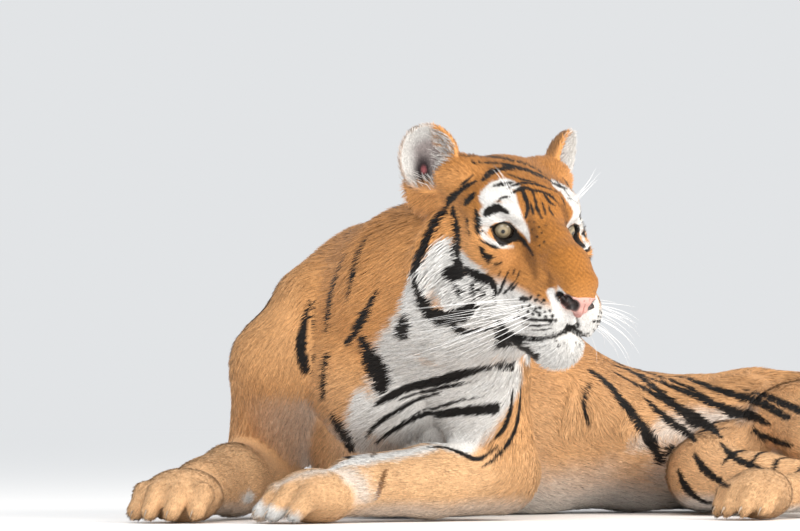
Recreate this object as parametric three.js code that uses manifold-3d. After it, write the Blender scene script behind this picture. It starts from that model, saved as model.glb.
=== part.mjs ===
// A Siberian tiger (adult female), life size: a still figure that lies on its chest with the head
// turned to its left, the hips rolled over and the hind legs and tail laid out on its left side.
//
// Frame: millimetres, +Z up, -Y the way the chest faces, +X the animal's left. The origin is on the
// floor, in the middle of the chest's resting face. All the lobes below are laid out from a point on
// the floor between the elbows, and the finished group is moved back by CHEST_REST.
// The surface is the outline of the coat, out to its tips.
//
// The flesh is a blend of lobes (bent stretches of elliptical section). It is meshed by surface nets,
// finer on the head and paws than on the trunk, and parted into its nodes by flat cuts 0.3 mm wide.
import * as THREE from "three";
import { mergeVertices } from "three/addons/utils/BufferGeometryUtils.js";
import Module from "manifold-3d";

const wasm = await Module();
wasm.setup();

// ---------------------------------------------------------------- driving dimensions
const GAP = 0.3; // between neighbouring nodes
const EYE_LEVEL = 412; // the eyes above the floor
const EYE_SPACING = 117; // between the irises
const EYEBALL_RADIUS = 19;
const HEAD_YAW = 48; // degrees, to the animal's left
const HEAD_PITCH = 22; // degrees, nose down
const EAR_HALF_WIDTH = 47;
const EAR_HALF_HEIGHT = 55;
const TRUNK_CELL = 42; // size of the facets
const SHOULDER_CELL = 38;
const THIGH_CELL = 34;
const TAIL_CELL = 30;
const LEG_CELL = 27;
const PAW_CELL = 20;
const FACE_CELL = 15;
const NAPE_CELL = 28;
const HEAD_BACK = -158; // where the head meets the neck, behind the eyes
const HEAD_FLOOR = -182; // and below them
const LOCK_SEED = 7;
const HEAD_AT = [296, -236]; // the point midway between the eyes, over the floor
const CHEST_REST = [20, 150, 0]; // the middle of the chest's resting face

const ORANGE = 0xc9772e;
const PALE = 0xe6ddcf;
const IRIS = 0x8f9180;
const COAT_ROUGHNESS = 0.9;
const EYE_ROUGHNESS = 0.15;
const radians = THREE.MathUtils.degToRad;
const vec = (x, y, z) => new THREE.Vector3(x, y, z);

// The head's own frame has its origin midway between the eyes: x left, y forward, z up.
const headMatrix = (() => {
  const flat = vec(Math.sin(radians(HEAD_YAW)), -Math.cos(radians(HEAD_YAW)), 0);
  const left = vec(Math.cos(radians(HEAD_YAW)), Math.sin(radians(HEAD_YAW)), 0);
  const pitch = radians(HEAD_PITCH);
  const forward = flat.clone().multiplyScalar(Math.cos(pitch)).add(vec(0, 0, -Math.sin(pitch)));
  const up = flat.clone().multiplyScalar(Math.sin(pitch)).add(vec(0, 0, Math.cos(pitch)));
  return new THREE.Matrix4().makeBasis(left, forward, up).setPosition(...HEAD_AT, EYE_LEVEL);
})();
const BODY = new THREE.Matrix4();

// Axes turned outwards by yaw, then rolled, on the side given by sign (1 left, -1 right).
function turned(yaw, roll = 0, sign = 1) {
  const z = new THREE.Matrix4().makeRotationZ(radians(yaw * sign));
  return z.multiply(new THREE.Matrix4().makeRotationY(radians(roll * sign)));
}

// ---------------------------------------------------------------- lobes
const clamp01 = (t) => Math.min(Math.max(t, 0), 1);

// A stretch from a to b. Each end has a half width along side and a half height along up.
class Lobe {
  constructor(a, b, blend, cap) {
    Object.assign(this, { a, b, blend, cap });
    this.span = b.at.clone().sub(a.at);
    this.lengthSq = Math.max(this.span.lengthSq(), 1e-9);
    this.reach = Math.max(a.wide, a.high, b.wide, b.high, cap * Math.min(a.wide, a.high)) + 28;
    this.sideTurn = b.side.clone().sub(a.side);
    this.upTurn = b.up.clone().sub(a.up);
  }

  placed(matrix) {
    const end = (e) => ({
      ...e,
      at: e.at.clone().applyMatrix4(matrix),
      side: e.side.clone().transformDirection(matrix),
      up: e.up.clone().transformDirection(matrix),
    });
    return new Lobe(end(this.a), end(this.b), this.blend, this.cap);
  }

  near(x, y, z) {
    const { a, b, reach } = this;
    return x > Math.min(a.at.x, b.at.x) - reach && x < Math.max(a.at.x, b.at.x) + reach
      && y > Math.min(a.at.y, b.at.y) - reach && y < Math.max(a.at.y, b.at.y) + reach
      && z > Math.min(a.at.z, b.at.z) - reach && z < Math.max(a.at.z, b.at.z) + reach;
  }

  distance(x, y, z) {
    const { a, b, span, sideTurn, upTurn } = this;
    let vx = x - a.at.x;
    let vy = y - a.at.y;
    let vz = z - a.at.z;
    const t = clamp01((vx * span.x + vy * span.y + vz * span.z) / this.lengthSq);
    vx -= t * span.x;
    vy -= t * span.y;
    vz -= t * span.z;
    const u = vx * (a.side.x + t * sideTurn.x) + vy * (a.side.y + t * sideTurn.y)
      + vz * (a.side.z + t * sideTurn.z);
    const w = vx * (a.up.x + t * upTurn.x) + vy * (a.up.y + t * upTurn.y) + vz * (a.up.z + t * upTurn.z);
    const away = vx * vx + vy * vy + vz * vz;
    const wide = a.wide + t * (b.wide - a.wide);
    const high = a.high + t * (b.high - a.high);
    const cap = Math.min(wide, high) * this.cap;
    const rest = Math.max(away - u * u - w * w, 0);
    const q = Math.sqrt((u / wide) ** 2 + (w / high) ** 2 + rest / cap ** 2);
    return q < 1e-3 ? -cap : Math.sqrt(away) * (1 - 1 / q);
  }
}

// A chain of lobes through stations [x, y, z, half width, half height, roll], heights along up.
function chain(stations, blend, up = vec(0, 0, 1), cap = 1) {
  const points = stations.map((s) => vec(s[0], s[1], s[2]));
  const ends = stations.map(([, , , wide, high, roll = 0], i) => {
    const along = points[Math.min(i + 1, points.length - 1)].clone().sub(points[Math.max(i - 1, 0)]);
    along.normalize();
    const side = along.clone().cross(up).normalize();
    const top = side.clone().cross(along).normalize();
    side.applyAxisAngle(along, -radians(roll));
    top.applyAxisAngle(along, -radians(roll));
    return { at: points[i], wide, high, side, up: top };
  });
  return ends.slice(1).map((end, i) => new Lobe(ends[i], end, blend, cap));
}

// An ellipsoid with radii [side, forward, up] about the axes of a rotation.
function ball(centre, radii, blend, axes = BODY) {
  const side = vec(1, 0, 0).transformDirection(axes);
  const forward = vec(0, 1, 0).transformDirection(axes);
  const up = vec(0, 0, 1).transformDirection(axes);
  const end = (sign) => ({
    at: centre.clone().addScaledVector(forward, sign * 1e-3),
    wide: radii[0],
    high: radii[2],
    side,
    up,
  });
  return new Lobe(end(-1), end(1), blend, radii[1] / Math.min(radii[0], radii[2]));
}

// ---------------------------------------------------------------- the head's lobes, in its own frame
const EAR_YAW = -38; // the cups open forward and outward
const EAR_ROLL = 16;

function headLobes() {
  const lobes = [
    ball(vec(0, -92, -4), [92, 92, 82], 34), // brain case
    ball(vec(0, -34, 16), [62, 52, 46], 30), // forehead
    ...chain([[0, -16, 16, 42, 30], [0, 36, -6, 29, 28], [0, 86, -20, 31, 28], [0, 122, -34, 31, 24]], 22),
    ...chain([[0, -10, -62, 68, 52], [0, 50, -72, 54, 48], [0, 88, -80, 46, 44]], 28), // muzzle
    ball(vec(0, 134, -52), [29, 18, 22], 12), // nose
    ...chain([[0, -20, -104, 66, 46], [0, 50, -122, 52, 40], [0, 103, -132, 40, 37]], 24), // jaw and chin
  ];
  for (const sign of [1, -1]) {
    lobes.push(
      ball(vec(25 * sign, 91, -85), [35, 45, 42], 16, turned(-14, 0, sign)), // whisker pad
      ball(vec(60 * sign, -34, -30), [40, 62, 50], 34, turned(-16, 0, sign)), // cheek bone
      ball(vec(78 * sign, -88, -72), [54, 48, 76], 40, turned(-10, 0, sign)), // jowl
      ball(vec(52 * sign, -30, -104), [50, 60, 48], 36), // fur under the cheek
      ball(vec(43 * sign, -7, 25), [28, 22, 14], 24, turned(-22, -14, sign)), // brow
      ball(vec(54 * sign, -56, 20), [40, 42, 32], 28), // temple
      ball(vec(70 * sign, -112, 38), [46, 42, 36], 30), // crown beside the ear
      ball(vec(92 * sign, -146, 10), [44, 26, 46], 24, turned(EAR_YAW, EAR_ROLL, sign)), // ear root
    );
  }
  return lobes;
}

// ---------------------------------------------------------------- the body's lobes
const SIDES = [["left", 1], ["right", -1]];
const ELBOW = { left: [184, -20], right: [-196, 40] };
const SHOULDER = { left: [146, -40, 225], right: [-140, -20, 225] };

// A paw flat on the floor: the wrist's place and the way it points, in degrees left of straight ahead.
function paw([x, y], heading, length, width) {
  const axes = new THREE.Matrix4().makeRotationZ(radians(heading)).multiply(
    new THREE.Matrix4().makeScale(1, -1, 1),
  );
  const place = (side, forward, up) => {
    const p = vec(side, forward, up).applyMatrix4(axes);
    return [x + p.x, y + p.y, p.z];
  };
  const palm = ball(vec(...place(0, length * 0.42, 38)), [width * 0.92, length * 0.5, 42], 26,
    new THREE.Matrix4().makeRotationZ(radians(heading)));
  const toes = [[-0.66, 0.86], [-0.24, 1], [0.24, 1], [0.66, 0.86]].flatMap(([side, reach]) => chain([
    [...place(side * width * 0.9, length * 0.5, 40), 17, 22],
    [...place(side * width * 1.05, length * (reach - 0.18), 40), 18.5, 21],
    [...place(side * width * 1.1, length * (reach + 0.04), 17), 16, 16],
  ], 11));
  return [palm, ...toes];
}

function bodyLobes() {
  const trunk = chain([
    [8, -45, 222, 112, 128], [0, 55, 208, 150, 210], [18, 225, 182, 166, 192, 14],
    [98, 410, 152, 158, 168, 42], [245, 560, 112, 110, 126, 68], [425, 655, 110, 116, 132, 74],
    [560, 700, 108, 106, 114, 78],
  ], 50, vec(0, 0, 1), 0.8);
  const neck = chain([
    [0, 40, 300, 150, 150], [90, -50, 325, 140, 142], [165, -115, 345, 128, 130],
    [215, -160, 365, 112, 118],
  ], 50);
  const shoulders = SIDES.flatMap(([name, sign]) => chain([
    [sign * 62, 90, 360, 60, 96], [sign * 112, 20, 300, 66, 96], [...SHOULDER[name], 84, 92],
    [...ELBOW[name], 78, 62, 66],
  ], 44, vec(0, 1, 0)));
  const forelegs = [
    ...chain([[...ELBOW.left, 66, 60, 62], [104, -116, 58, 55, 56], [20, -212, 52, 48, 48]], 24),
    ...paw([12, -222], -42, 124, 64),
    ...chain([[...ELBOW.right, 66, 60, 62], [-206, -80, 58, 54, 56], [-212, -205, 50, 46, 46]], 24),
    ...paw([-212, -215], -6, 124, 64),
  ];
  const hindlegs = [
    ...chain([[450, 625, 78, 92, 76], [420, 500, 76, 90, 72], [400, 400, 66, 66, 62]], 30),
    ...chain([[400, 390, 60, 60, 56], [505, 330, 52, 46, 46], [600, 285, 46, 36, 40]], 24),
    ...chain([[600, 285, 42, 34, 38], [560, 170, 36, 30, 32]], 18),
    ...paw([556, 162], -20, 108, 54),
    ...chain([[490, 650, 134, 96, 90], [535, 520, 142, 96, 66], [580, 405, 116, 70, 58]], 34),
    ...chain([[585, 395, 112, 64, 56], [700, 365, 74, 46, 46], [810, 345, 48, 36, 40]], 24),
    ...chain([[812, 343, 42, 34, 38], [775, 225, 36, 30, 32]], 18),
    ...paw([772, 216], -18, 108, 54),
  ];
  const tail = chain([
    [590, 712, 118, 62, 62], [680, 742, 72, 44, 46], [790, 730, 42, 36, 38], [895, 655, 36, 33, 34],
    [960, 530, 34, 31, 32], [978, 395, 32, 30, 30], [955, 270, 30, 28, 28], [905, 180, 28, 24, 26],
  ], 30);
  return [...trunk, ...neck, ...shoulders, ...forelegs, ...hindlegs, ...tail];
}

// ---------------------------------------------------------------- field and surface
function smoothMin(a, b, blend) {
  const h = Math.max(blend - Math.abs(a - b), 0) / blend;
  return Math.min(a, b) - (h * h * h * blend) / 6;
}

function fieldOf(lobes) {
  return (x, y, z) => {
    let value = 60;
    for (const lobe of lobes) {
      if (lobe.near(x, y, z)) value = smoothMin(value, lobe.distance(x, y, z), lobe.blend);
    }
    return value;
  };
}

function gradient(field, p, step = 1) {
  return vec(
    field(p.x + step, p.y, p.z) - field(p.x - step, p.y, p.z),
    field(p.x, p.y + step, p.z) - field(p.x, p.y - step, p.z),
    field(p.x, p.y, p.z + step) - field(p.x, p.y, p.z - step),
  ).divideScalar(2 * step);
}

// Grid lines from low to high, with cells of fine size between fineLow and fineHigh.
function lines(low, high, cell, fineLow = high, fineHigh = high, fine = cell) {
  const out = [];
  for (let v = low; v < high + cell; v += v > fineLow && v < fineHigh ? fine : cell) out.push(v);
  return out;
}

// Surface nets over a grid: one vertex for each cell that the surface crosses.
function meshField(field, [xs, ys, zs]) {
  const [nx, ny, nz] = [xs.length, ys.length, zs.length];
  const index = (i, j, k) => (i * ny + j) * nz + k;
  const values = new Float64Array(nx * ny * nz);
  const rim = (i, n) => i === 0 || i === n - 1;
  for (let i = 0; i < nx; i += 1) {
    for (let j = 0; j < ny; j += 1) {
      for (let k = 0; k < nz; k += 1) {
        const outside = rim(i, nx) || rim(j, ny) || rim(k, nz);
        values[index(i, j, k)] = outside ? 20 : field(xs[i], ys[j], zs[k]);
      }
    }
  }
  separateSheets(values, index, [nx, ny, nz]);

  const vertices = [];
  const cells = new Map();
  const corners = CUBE_CORNERS;
  for (let i = 0; i < nx - 1; i += 1) {
    for (let j = 0; j < ny - 1; j += 1) {
      for (let k = 0; k < nz - 1; k += 1) {
        const at = corners.map(([a, b, c]) => values[index(i + a, j + b, k + c)]);
        const negative = at.filter((v) => v < 0).length;
        if (negative === 0 || negative === 8) continue;
        const sum = vec(0, 0, 0);
        let count = 0;
        for (const [p, q] of CUBE_EDGES) {
          if (at[p] < 0 === at[q] < 0) continue;
          const t = at[p] / (at[p] - at[q]);
          const start = corners[p];
          const end = corners[q];
          sum.x += THREE.MathUtils.lerp(xs[i + start[0]], xs[i + end[0]], t);
          sum.y += THREE.MathUtils.lerp(ys[j + start[1]], ys[j + end[1]], t);
          sum.z += THREE.MathUtils.lerp(zs[k + start[2]], zs[k + end[2]], t);
          count += 1;
        }
        cells.set(index(i, j, k), vertices.length);
        vertices.push(settle(field, sum.divideScalar(count), [
          xs[i], xs[i + 1], ys[j], ys[j + 1], zs[k], zs[k + 1]]));
      }
    }
  }

  const triangles = [];
  const quad = (a, b, c, d, flip) => {
    const ring = flip ? [d, c, b, a] : [a, b, c, d];
    const [p, q, r, s] = ring.map((cell) => cells.get(cell));
    const short = vertices[p].distanceTo(vertices[r]) <= vertices[q].distanceTo(vertices[s]);
    triangles.push(...(short ? [p, q, r, p, r, s] : [p, q, s, q, r, s]));
  };
  for (let i = 0; i < nx - 1; i += 1) {
    for (let j = 0; j < ny - 1; j += 1) {
      for (let k = 0; k < nz - 1; k += 1) {
        const inside = values[index(i, j, k)] < 0;
        if (inside !== values[index(i + 1, j, k)] < 0) {
          quad(index(i, j - 1, k - 1), index(i, j, k - 1), index(i, j, k), index(i, j - 1, k), !inside);
        }
        if (inside !== values[index(i, j + 1, k)] < 0) {
          quad(index(i - 1, j, k - 1), index(i - 1, j, k), index(i, j, k), index(i, j, k - 1), !inside);
        }
        if (inside !== values[index(i, j, k + 1)] < 0) {
          quad(index(i - 1, j - 1, k), index(i, j - 1, k), index(i, j, k), index(i - 1, j, k), !inside);
        }
      }
    }
  }
  return { positions: vertices.flatMap((v) => [v.x, v.y, v.z]), triangles };
}

const CUBE_CORNERS = [0, 1, 2, 3, 4, 5, 6, 7].map((n) => [n & 1, (n >> 1) & 1, (n >> 2) & 1]);
const CUBE_EDGES = [0, 1, 2, 3, 4, 5, 6, 7].flatMap((n) => (
  [1, 2, 4].filter((b) => !(n & b)).map((b) => [n, n | b])
));

// Moves a vertex onto the surface without leaving its cell.
function settle(field, point, [x0, x1, y0, y1, z0, z1]) {
  for (let turn = 0; turn < 3; turn += 1) {
    const slope = gradient(field, point);
    const lengthSq = slope.lengthSq();
    if (lengthSq < 0.05) break;
    point.addScaledVector(slope, -field(point.x, point.y, point.z) / lengthSq);
    point.clamp(vec(x0, y0, z0), vec(x1, y1, z1));
  }
  return point;
}

// Flips the weakest corner of each cell that two sheets of the surface would share.
function separateSheets(values, index, [nx, ny, nz]) {
  const joined = (at, sign) => {
    const members = at.map((v, n) => (v < 0 === sign ? n : -1)).filter((n) => n >= 0);
    if (members.length < 2) return true;
    const seen = new Set([members[0]]);
    const queue = [members[0]];
    while (queue.length) {
      const n = queue.pop();
      for (const bit of [1, 2, 4]) {
        const next = n ^ bit;
        if (members.includes(next) && !seen.has(next)) {
          seen.add(next);
          queue.push(next);
        }
      }
    }
    return seen.size === members.length;
  };
  const faceClash = (at) => [1, 2, 4].some((fixed) => {
    const [p, q] = [1, 2, 4].filter((b) => b !== fixed);
    return [0, fixed].some((base) => at[base] < 0 === at[base | p | q] < 0
      && at[base | p] < 0 === at[base | q] < 0 && at[base] < 0 !== at[base | p] < 0);
  });
  for (let turn = 0; turn < 12; turn += 1) {
    let changed = false;
    for (let i = 1; i < nx - 2; i += 1) {
      for (let j = 1; j < ny - 2; j += 1) {
        for (let k = 1; k < nz - 2; k += 1) {
          const places = CUBE_CORNERS.map(([a, b, c]) => index(i + a, j + b, k + c));
          const at = places.map((p) => values[p]);
          if (joined(at, true) && joined(at, false) && !faceClash(at)) continue;
          const weakest = places.reduce((best, p) => (
            values[p] >= 0 && values[p] < (best < 0 ? Infinity : values[best]) ? p : best), -1);
          values[weakest] = -0.5;
          changed = true;
        }
      }
    }
    if (!changed) return;
  }
}

// ---------------------------------------------------------------- solids
// A closed solid of triangles, which are turned over where they all face inwards.
function solidOf({ positions, triangles }) {
  const build = (order) => new wasm.Manifold(new wasm.Mesh({
    numProp: 3,
    vertProperties: new Float32Array(positions),
    triVerts: order,
  }));
  const solid = build(new Uint32Array(triangles));
  return solid.volume() > 0 ? solid : build(new Uint32Array(triangles).reverse());
}

function solidOfGeometry(geometry, matrix = BODY) {
  const bare = new THREE.BufferGeometry().setAttribute("position", geometry.attributes.position);
  if (geometry.index) bare.setIndex(geometry.index);
  const merged = mergeVertices(bare, 1e-4).applyMatrix4(matrix);
  return solidOf({ positions: merged.attributes.position.array, triangles: merged.index.array });
}

function largest(solid) {
  const bodies = solid.decompose();
  return bodies.reduce((a, b) => (b.volume() > a.volume() ? b : a));
}

// A block between two corners of a frame, grown on every side.
function block(low, high, grow = 0, matrix = BODY) {
  const size = high.map((v, i) => v - low[i] + 2 * grow);
  const middle = new THREE.Matrix4().makeTranslation(...high.map((v, i) => (v + low[i]) / 2));
  return solidOfGeometry(new THREE.BoxGeometry(...size), matrix.clone().multiply(middle));
}

// A half space as a large block: all that lies past a point along a direction.
function beyond(point, direction, shift = 0) {
  const reach = 3000; // past the whole animal
  const turn = new THREE.Quaternion().setFromUnitVectors(vec(0, 0, 1), direction.clone().normalize());
  const matrix = new THREE.Matrix4().makeRotationFromQuaternion(turn).setPosition(point);
  return block([-reach, -reach, shift], [reach, reach, reach], 0, matrix);
}

// A closed strip through stations { at, side, up, wide, high } of four-cornered section.
function strip(stations) {
  const positions = [];
  const triangles = [];
  stations.forEach(({ at, side, up, wide, high }) => {
    const corners = [[wide, 0], [0, high], [-wide, 0], [0, -high]];
    for (const [a, b] of corners) {
      const p = at.clone().addScaledVector(side, a).addScaledVector(up, b);
      positions.push(p.x, p.y, p.z);
    }
  });
  for (let i = 0; i < stations.length - 1; i += 1) {
    for (let c = 0; c < 4; c += 1) {
      const [a, b] = [4 * i + c, 4 * i + ((c + 1) % 4)];
      triangles.push(a, b, b + 4, a, b + 4, a + 4);
    }
  }
  const last = 4 * (stations.length - 1);
  triangles.push(0, 2, 1, 0, 3, 2, last, last + 1, last + 2, last, last + 2, last + 3);
  return solidOf({ positions, triangles });
}

// ---------------------------------------------------------------- whole surfaces
const inHead = headMatrix.clone().invert();
const headOnly = headLobes();
const headOfBody = bodyLobes().map((lobe) => lobe.placed(inHead));
const everythingInHead = fieldOf([...headOfBody, ...headOnly]);
const everything = fieldOf([...bodyLobes(), ...headOnly.map((lobe) => lobe.placed(headMatrix))]);
const floor = beyond(vec(0, 0, 0), vec(0, 0, 1));

// The surface inside a block of the body, meshed with its own cell size, on the floor.
function fleshIn(low, high, cell) {
  const margin = 2.2 * cell;
  const axes = low.map((v, c) => lines(Math.max(v, c === 2 ? -60 : v) - margin, high[c] + margin, cell));
  return solidOf(meshField(everything, axes)).intersect(floor);
}

// ---------------------------------------------------------------- details of the head
const headField = fieldOf(headOnly);

// The head's surface along a ray from a point of the head's inside.
function headSurface(from, direction) {
  const along = direction.clone().normalize();
  let near = 0;
  let far = 300;
  while (far - near > 0.2) {
    const middle = (near + far) / 2;
    const p = from.clone().addScaledVector(along, middle);
    if (headField(p.x, p.y, p.z) < 0) near = middle;
    else far = middle;
  }
  const at = from.clone().addScaledVector(along, near);
  return { at, normal: gradient(headField, at).normalize() };
}

const EYE_YAW = -28; // each eye looks outward by this
const EYE_SLANT = -9; // its inner corner lies lower
const EYE_DROP = 3.5; // the irises' centres lie this far below the head's origin

function eyeFrame(sign) {
  const frame = turned(EYE_YAW, 0, sign);
  const forward = vec(0, 1, 0).transformDirection(frame);
  const iris = vec((EYE_SPACING / 2) * sign, 0, -EYE_DROP);
  frame.setPosition(iris.addScaledVector(forward, -EYEBALL_RADIUS));
  return frame.multiply(new THREE.Matrix4().makeRotationY(radians(EYE_SLANT * sign)));
}

function eyeball(sign, grow = 0) {
  const sphere = new THREE.SphereGeometry(EYEBALL_RADIUS + grow, 14, 8).rotateX(Math.PI / 2);
  return solidOfGeometry(sphere, eyeFrame(sign));
}

// The opening of the lids, cut through the coat down to the eyeball.
const OPENING = [25, 20, 15]; // radii along the slit, forward and across
const OPENING_AHEAD = 8; // its centre lies this far before the front of the eyeball

function eyeOpening(sign) {
  const shape = new THREE.SphereGeometry(1, 12, 7).scale(...OPENING);
  return solidOfGeometry(shape.translate(0, EYEBALL_RADIUS + OPENING_AHEAD, 0), eyeFrame(sign));
}

// The lids: a rim around the opening that lies on the eyeball.
const LID_HALF_LENGTH = 21;
const LID_HALF_HEIGHT = 12;
const LID_THICKNESS = 3.2;
const RING_TUBE = 0.2; // of the plain ring that is stretched into the rim

function lids(sign) {
  const ring = new THREE.TorusGeometry(1, RING_TUBE, 5, 18);
  const place = ring.attributes.position;
  const scale = LID_THICKNESS / RING_TUBE;
  for (let i = 0; i < place.count; i += 1) {
    const [x, y, z] = [place.getX(i), place.getY(i), place.getZ(i)];
    const angle = Math.atan2(y, x);
    const out = (Math.hypot(x, y) - 1) * scale;
    const along = Math.cos(angle) * (LID_HALF_LENGTH + out);
    const across = Math.sin(angle) * (LID_HALF_HEIGHT + out);
    const depth = EYEBALL_RADIUS + 0.5 - (along ** 2 + across ** 2) / (2.6 * EYEBALL_RADIUS);
    place.setXYZ(i, along, depth - z * scale, across);
  }
  return solidOfGeometry(ring, eyeFrame(sign));
}

// A nostril: the round opening in front and the slit that curls back round its wing.
const NOSTRIL = { radii: [9, 15, 9], at: [19.5, 147, -61], yaw: -26, roll: 0 };
const WING_SLIT = { radii: [9, 14, 7], at: [26, 136, -54.5], yaw: -55, roll: -29 };

function nostril(sign) {
  const [opening, slit] = [NOSTRIL, WING_SLIT].map(({ radii, at: [x, y, z], yaw, roll }) => {
    const shape = new THREE.SphereGeometry(1, 8, 6).scale(...radii);
    return solidOfGeometry(shape, turned(yaw, roll, sign).setPosition(x * sign, y, z));
  });
  return opening.add(slit);
}

// The line between the lips, from one corner of the mouth round the front to the other.
const MOUTH_CORNER = 76; // degrees round from straight ahead
const MOUTH_STEPS = 16;
const LIP_LEVEL = -101; // under the nose
const LIP_DROP = 33; // from there to the corners
const MUZZLE_AXIS = 34; // forward of the eyes

function mouthLine() {
  const stations = [];
  for (let i = 0; i <= MOUTH_STEPS; i += 1) {
    const turn = THREE.MathUtils.lerp(-MOUTH_CORNER, MOUTH_CORNER, i / MOUTH_STEPS);
    const share = Math.min((1.5 * Math.abs(turn)) / MOUTH_CORNER, 1);
    const level = LIP_LEVEL - LIP_DROP * Math.sin(share * Math.PI * 0.5);
    const out = vec(Math.sin(radians(turn)), Math.cos(radians(turn)), 0);
    const { at } = headSurface(vec(0, MUZZLE_AXIS, level), out);
    stations.push({ at, side: vec(0, 0, 1), up: out, wide: 2.2, high: 7 });
  }
  return strip(stations);
}

// The groove from the nose down to the mouth.
function philtrum() {
  const stations = [-76, -84, -92, LIP_LEVEL].map((level) => {
    const { at } = headSurface(vec(0, MUZZLE_AXIS, level), vec(0, 1, 0));
    return { at, side: vec(1, 0, 0), up: vec(0, 1, 0), wide: 1.6, high: 4 };
  });
  return strip(stations);
}

// A seeded draw between 0 and 1.
function randomFrom(seed) {
  let state = seed;
  return () => {
    state = (state * 16807) % 2147483647;
    return state / 2147483647;
  };
}

// A flat, tapered lock that leaves the coat at a low angle, bends and droops to its tip.
const LOCK_STATIONS = [[-0.16, 0.8], [0.28, 1], [0.68, 0.75], [1, 0.06]]; // share of length, of width
const LOCK_ROOT_DEPTH = 6;
const LOCK_BEND = 1.9; // radians of a sine along its length

function lock(root, normal, lie, { length, wide, thick, lift, droop }) {
  const side = lie.clone().cross(normal).normalize();
  const stations = LOCK_STATIONS.map(([share, width]) => {
    const rise = lift * Math.sin(Math.max(share, 0) * LOCK_BEND) - LOCK_ROOT_DEPTH * (share < 0);
    const at = root.clone().addScaledVector(lie, length * share).addScaledVector(normal, rise);
    at.z -= droop * Math.max(share, 0) ** 2;
    return { at, side, up: normal, wide: wide * width, high: thick * (0.25 + 0.75 * width) };
  });
  return strip(stations);
}

// The ruff: rows of locks round each cheek, from below the ear to under the jaw.
const RUFF_ROWS = [[-46, 7], [-78, 8], [-108, 9]]; // place behind the eyes, locks on each side
const RUFF_TOP = 24; // degrees above the level of the cheek's middle
const RUFF_END = -84;
const CHEEK_LEVEL = -50;
const RISE = 0.12; // of the lie, out of the surface

function ruff() {
  const random = randomFrom(LOCK_SEED);
  const locks = [];
  for (const [, sign] of SIDES) {
    RUFF_ROWS.forEach(([forward, count], row) => {
      for (let i = 0; i < count; i += 1) {
        const share = (i + 0.5 * (row % 2) + 0.3 * random()) / count;
        const angle = radians(THREE.MathUtils.lerp(RUFF_TOP, RUFF_END, share));
        const out = vec(sign * Math.cos(angle), 0, Math.sin(angle));
        const { at, normal } = headSurface(vec(0, forward + 8 * (random() - 0.5), CHEEK_LEVEL), out);
        const lie = vec(0.16 * sign, -1, -0.5); // back, down and a little outward
        lie.addScaledVector(normal, RISE - lie.dot(normal)).normalize();
        const size = { length: 44 + 16 * random(), wide: 17 + 4 * random(), thick: 4 };
        locks.push(lock(at, normal, lie, { ...size, lift: 8 + 4 * random(), droop: 4 }));
      }
    });
  }
  return wasm.Manifold.union(locks);
}

// ---------------------------------------------------------------- ears
const EAR_AT = [113, -136, 52]; // the middle of the cup, in the head's frame
const EAR_FOOT = -40; // how far down it reaches, in its own frame

function earFrame(sign) {
  const [x, y, z] = EAR_AT;
  return headMatrix.clone().multiply(turned(EAR_YAW, EAR_ROLL, sign).setPosition(x * sign, y, z));
}

// The cup: a flattened ball whose front is pressed inward, with a rounded rim. Its foot stands in
// a socket of the head, which is the same cup grown by the gap.
function ear(sign, grow = 0) {
  const depth = { back: 22 + grow, front: 13 - 4 * grow, rim: 3 + grow }; // the cup's walls are steep
  const shape = new THREE.SphereGeometry(1, 18, 9, Math.PI / 2);
  const place = shape.attributes.position;
  for (let i = 0; i < place.count; i += 1) {
    const [x, y, z] = [place.getX(i), place.getY(i), place.getZ(i)];
    const taper = 1 - 0.1 * y;
    const forward = z > 0 ? depth.rim - (depth.front + depth.rim) * z : depth.back * z - depth.rim;
    place.setXYZ(i, x * (EAR_HALF_WIDTH * taper + grow), Math.abs(z) < 1e-6 ? 0 : forward,
      y * (EAR_HALF_HEIGHT + grow));
  }
  const foot = block([-70, -50, -90], [70, 50, EAR_FOOT - grow], 0, earFrame(sign));
  return solidOfGeometry(shape, earFrame(sign)).subtract(foot);
}

// ---------------------------------------------------------------- parting
const nodes = [];

function addNode(name, solid, color, roughness = COAT_ROUGHNESS) {
  const { vertProperties, triVerts } = largest(solid).getMesh();
  const geometry = new THREE.BufferGeometry();
  geometry.setAttribute("position", new THREE.BufferAttribute(new Float32Array(vertProperties), 3));
  geometry.setIndex(new THREE.BufferAttribute(new Uint32Array(triVerts), 1));
  geometry.computeVertexNormals();
  const mesh = new THREE.Mesh(geometry, new THREE.MeshStandardMaterial({ color, roughness, metalness: 0 }));
  mesh.name = name;
  nodes.push(mesh);
}

const HEAD_HALF_WIDTH = 190;
const HEAD_FRONT = 210;
const HEAD_TOP = 170;
const FACE_FROM = -60; // the face's fine facets start here, behind the eyes

function headBlock(grow) {
  const low = [-HEAD_HALF_WIDTH, HEAD_BACK, HEAD_FLOOR];
  return block(low, [HEAD_HALF_WIDTH, HEAD_FRONT, HEAD_TOP], grow, headMatrix);
}

function head() {
  const axes = [
    lines(-176, 176, FACE_CELL),
    lines(HEAD_BACK - 50, 170, NAPE_CELL, FACE_FROM, 999, FACE_CELL),
    lines(HEAD_FLOOR - 30, 110, FACE_CELL),
  ];
  let solid = solidOf(meshField(everythingInHead, axes));
  solid = solid.add(ruff());
  for (const [, sign] of SIDES) {
    solid = solid.subtract(eyeOpening(sign)).add(lids(sign));
    solid = solid.subtract(eyeball(sign, GAP)).subtract(nostril(sign));
  }
  solid = solid.subtract(mouthLine()).subtract(philtrum()).transform(headMatrix.elements);
  for (const [, sign] of SIDES) solid = solid.subtract(ear(sign, GAP));
  return solid.intersect(headBlock(0));
}

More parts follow.
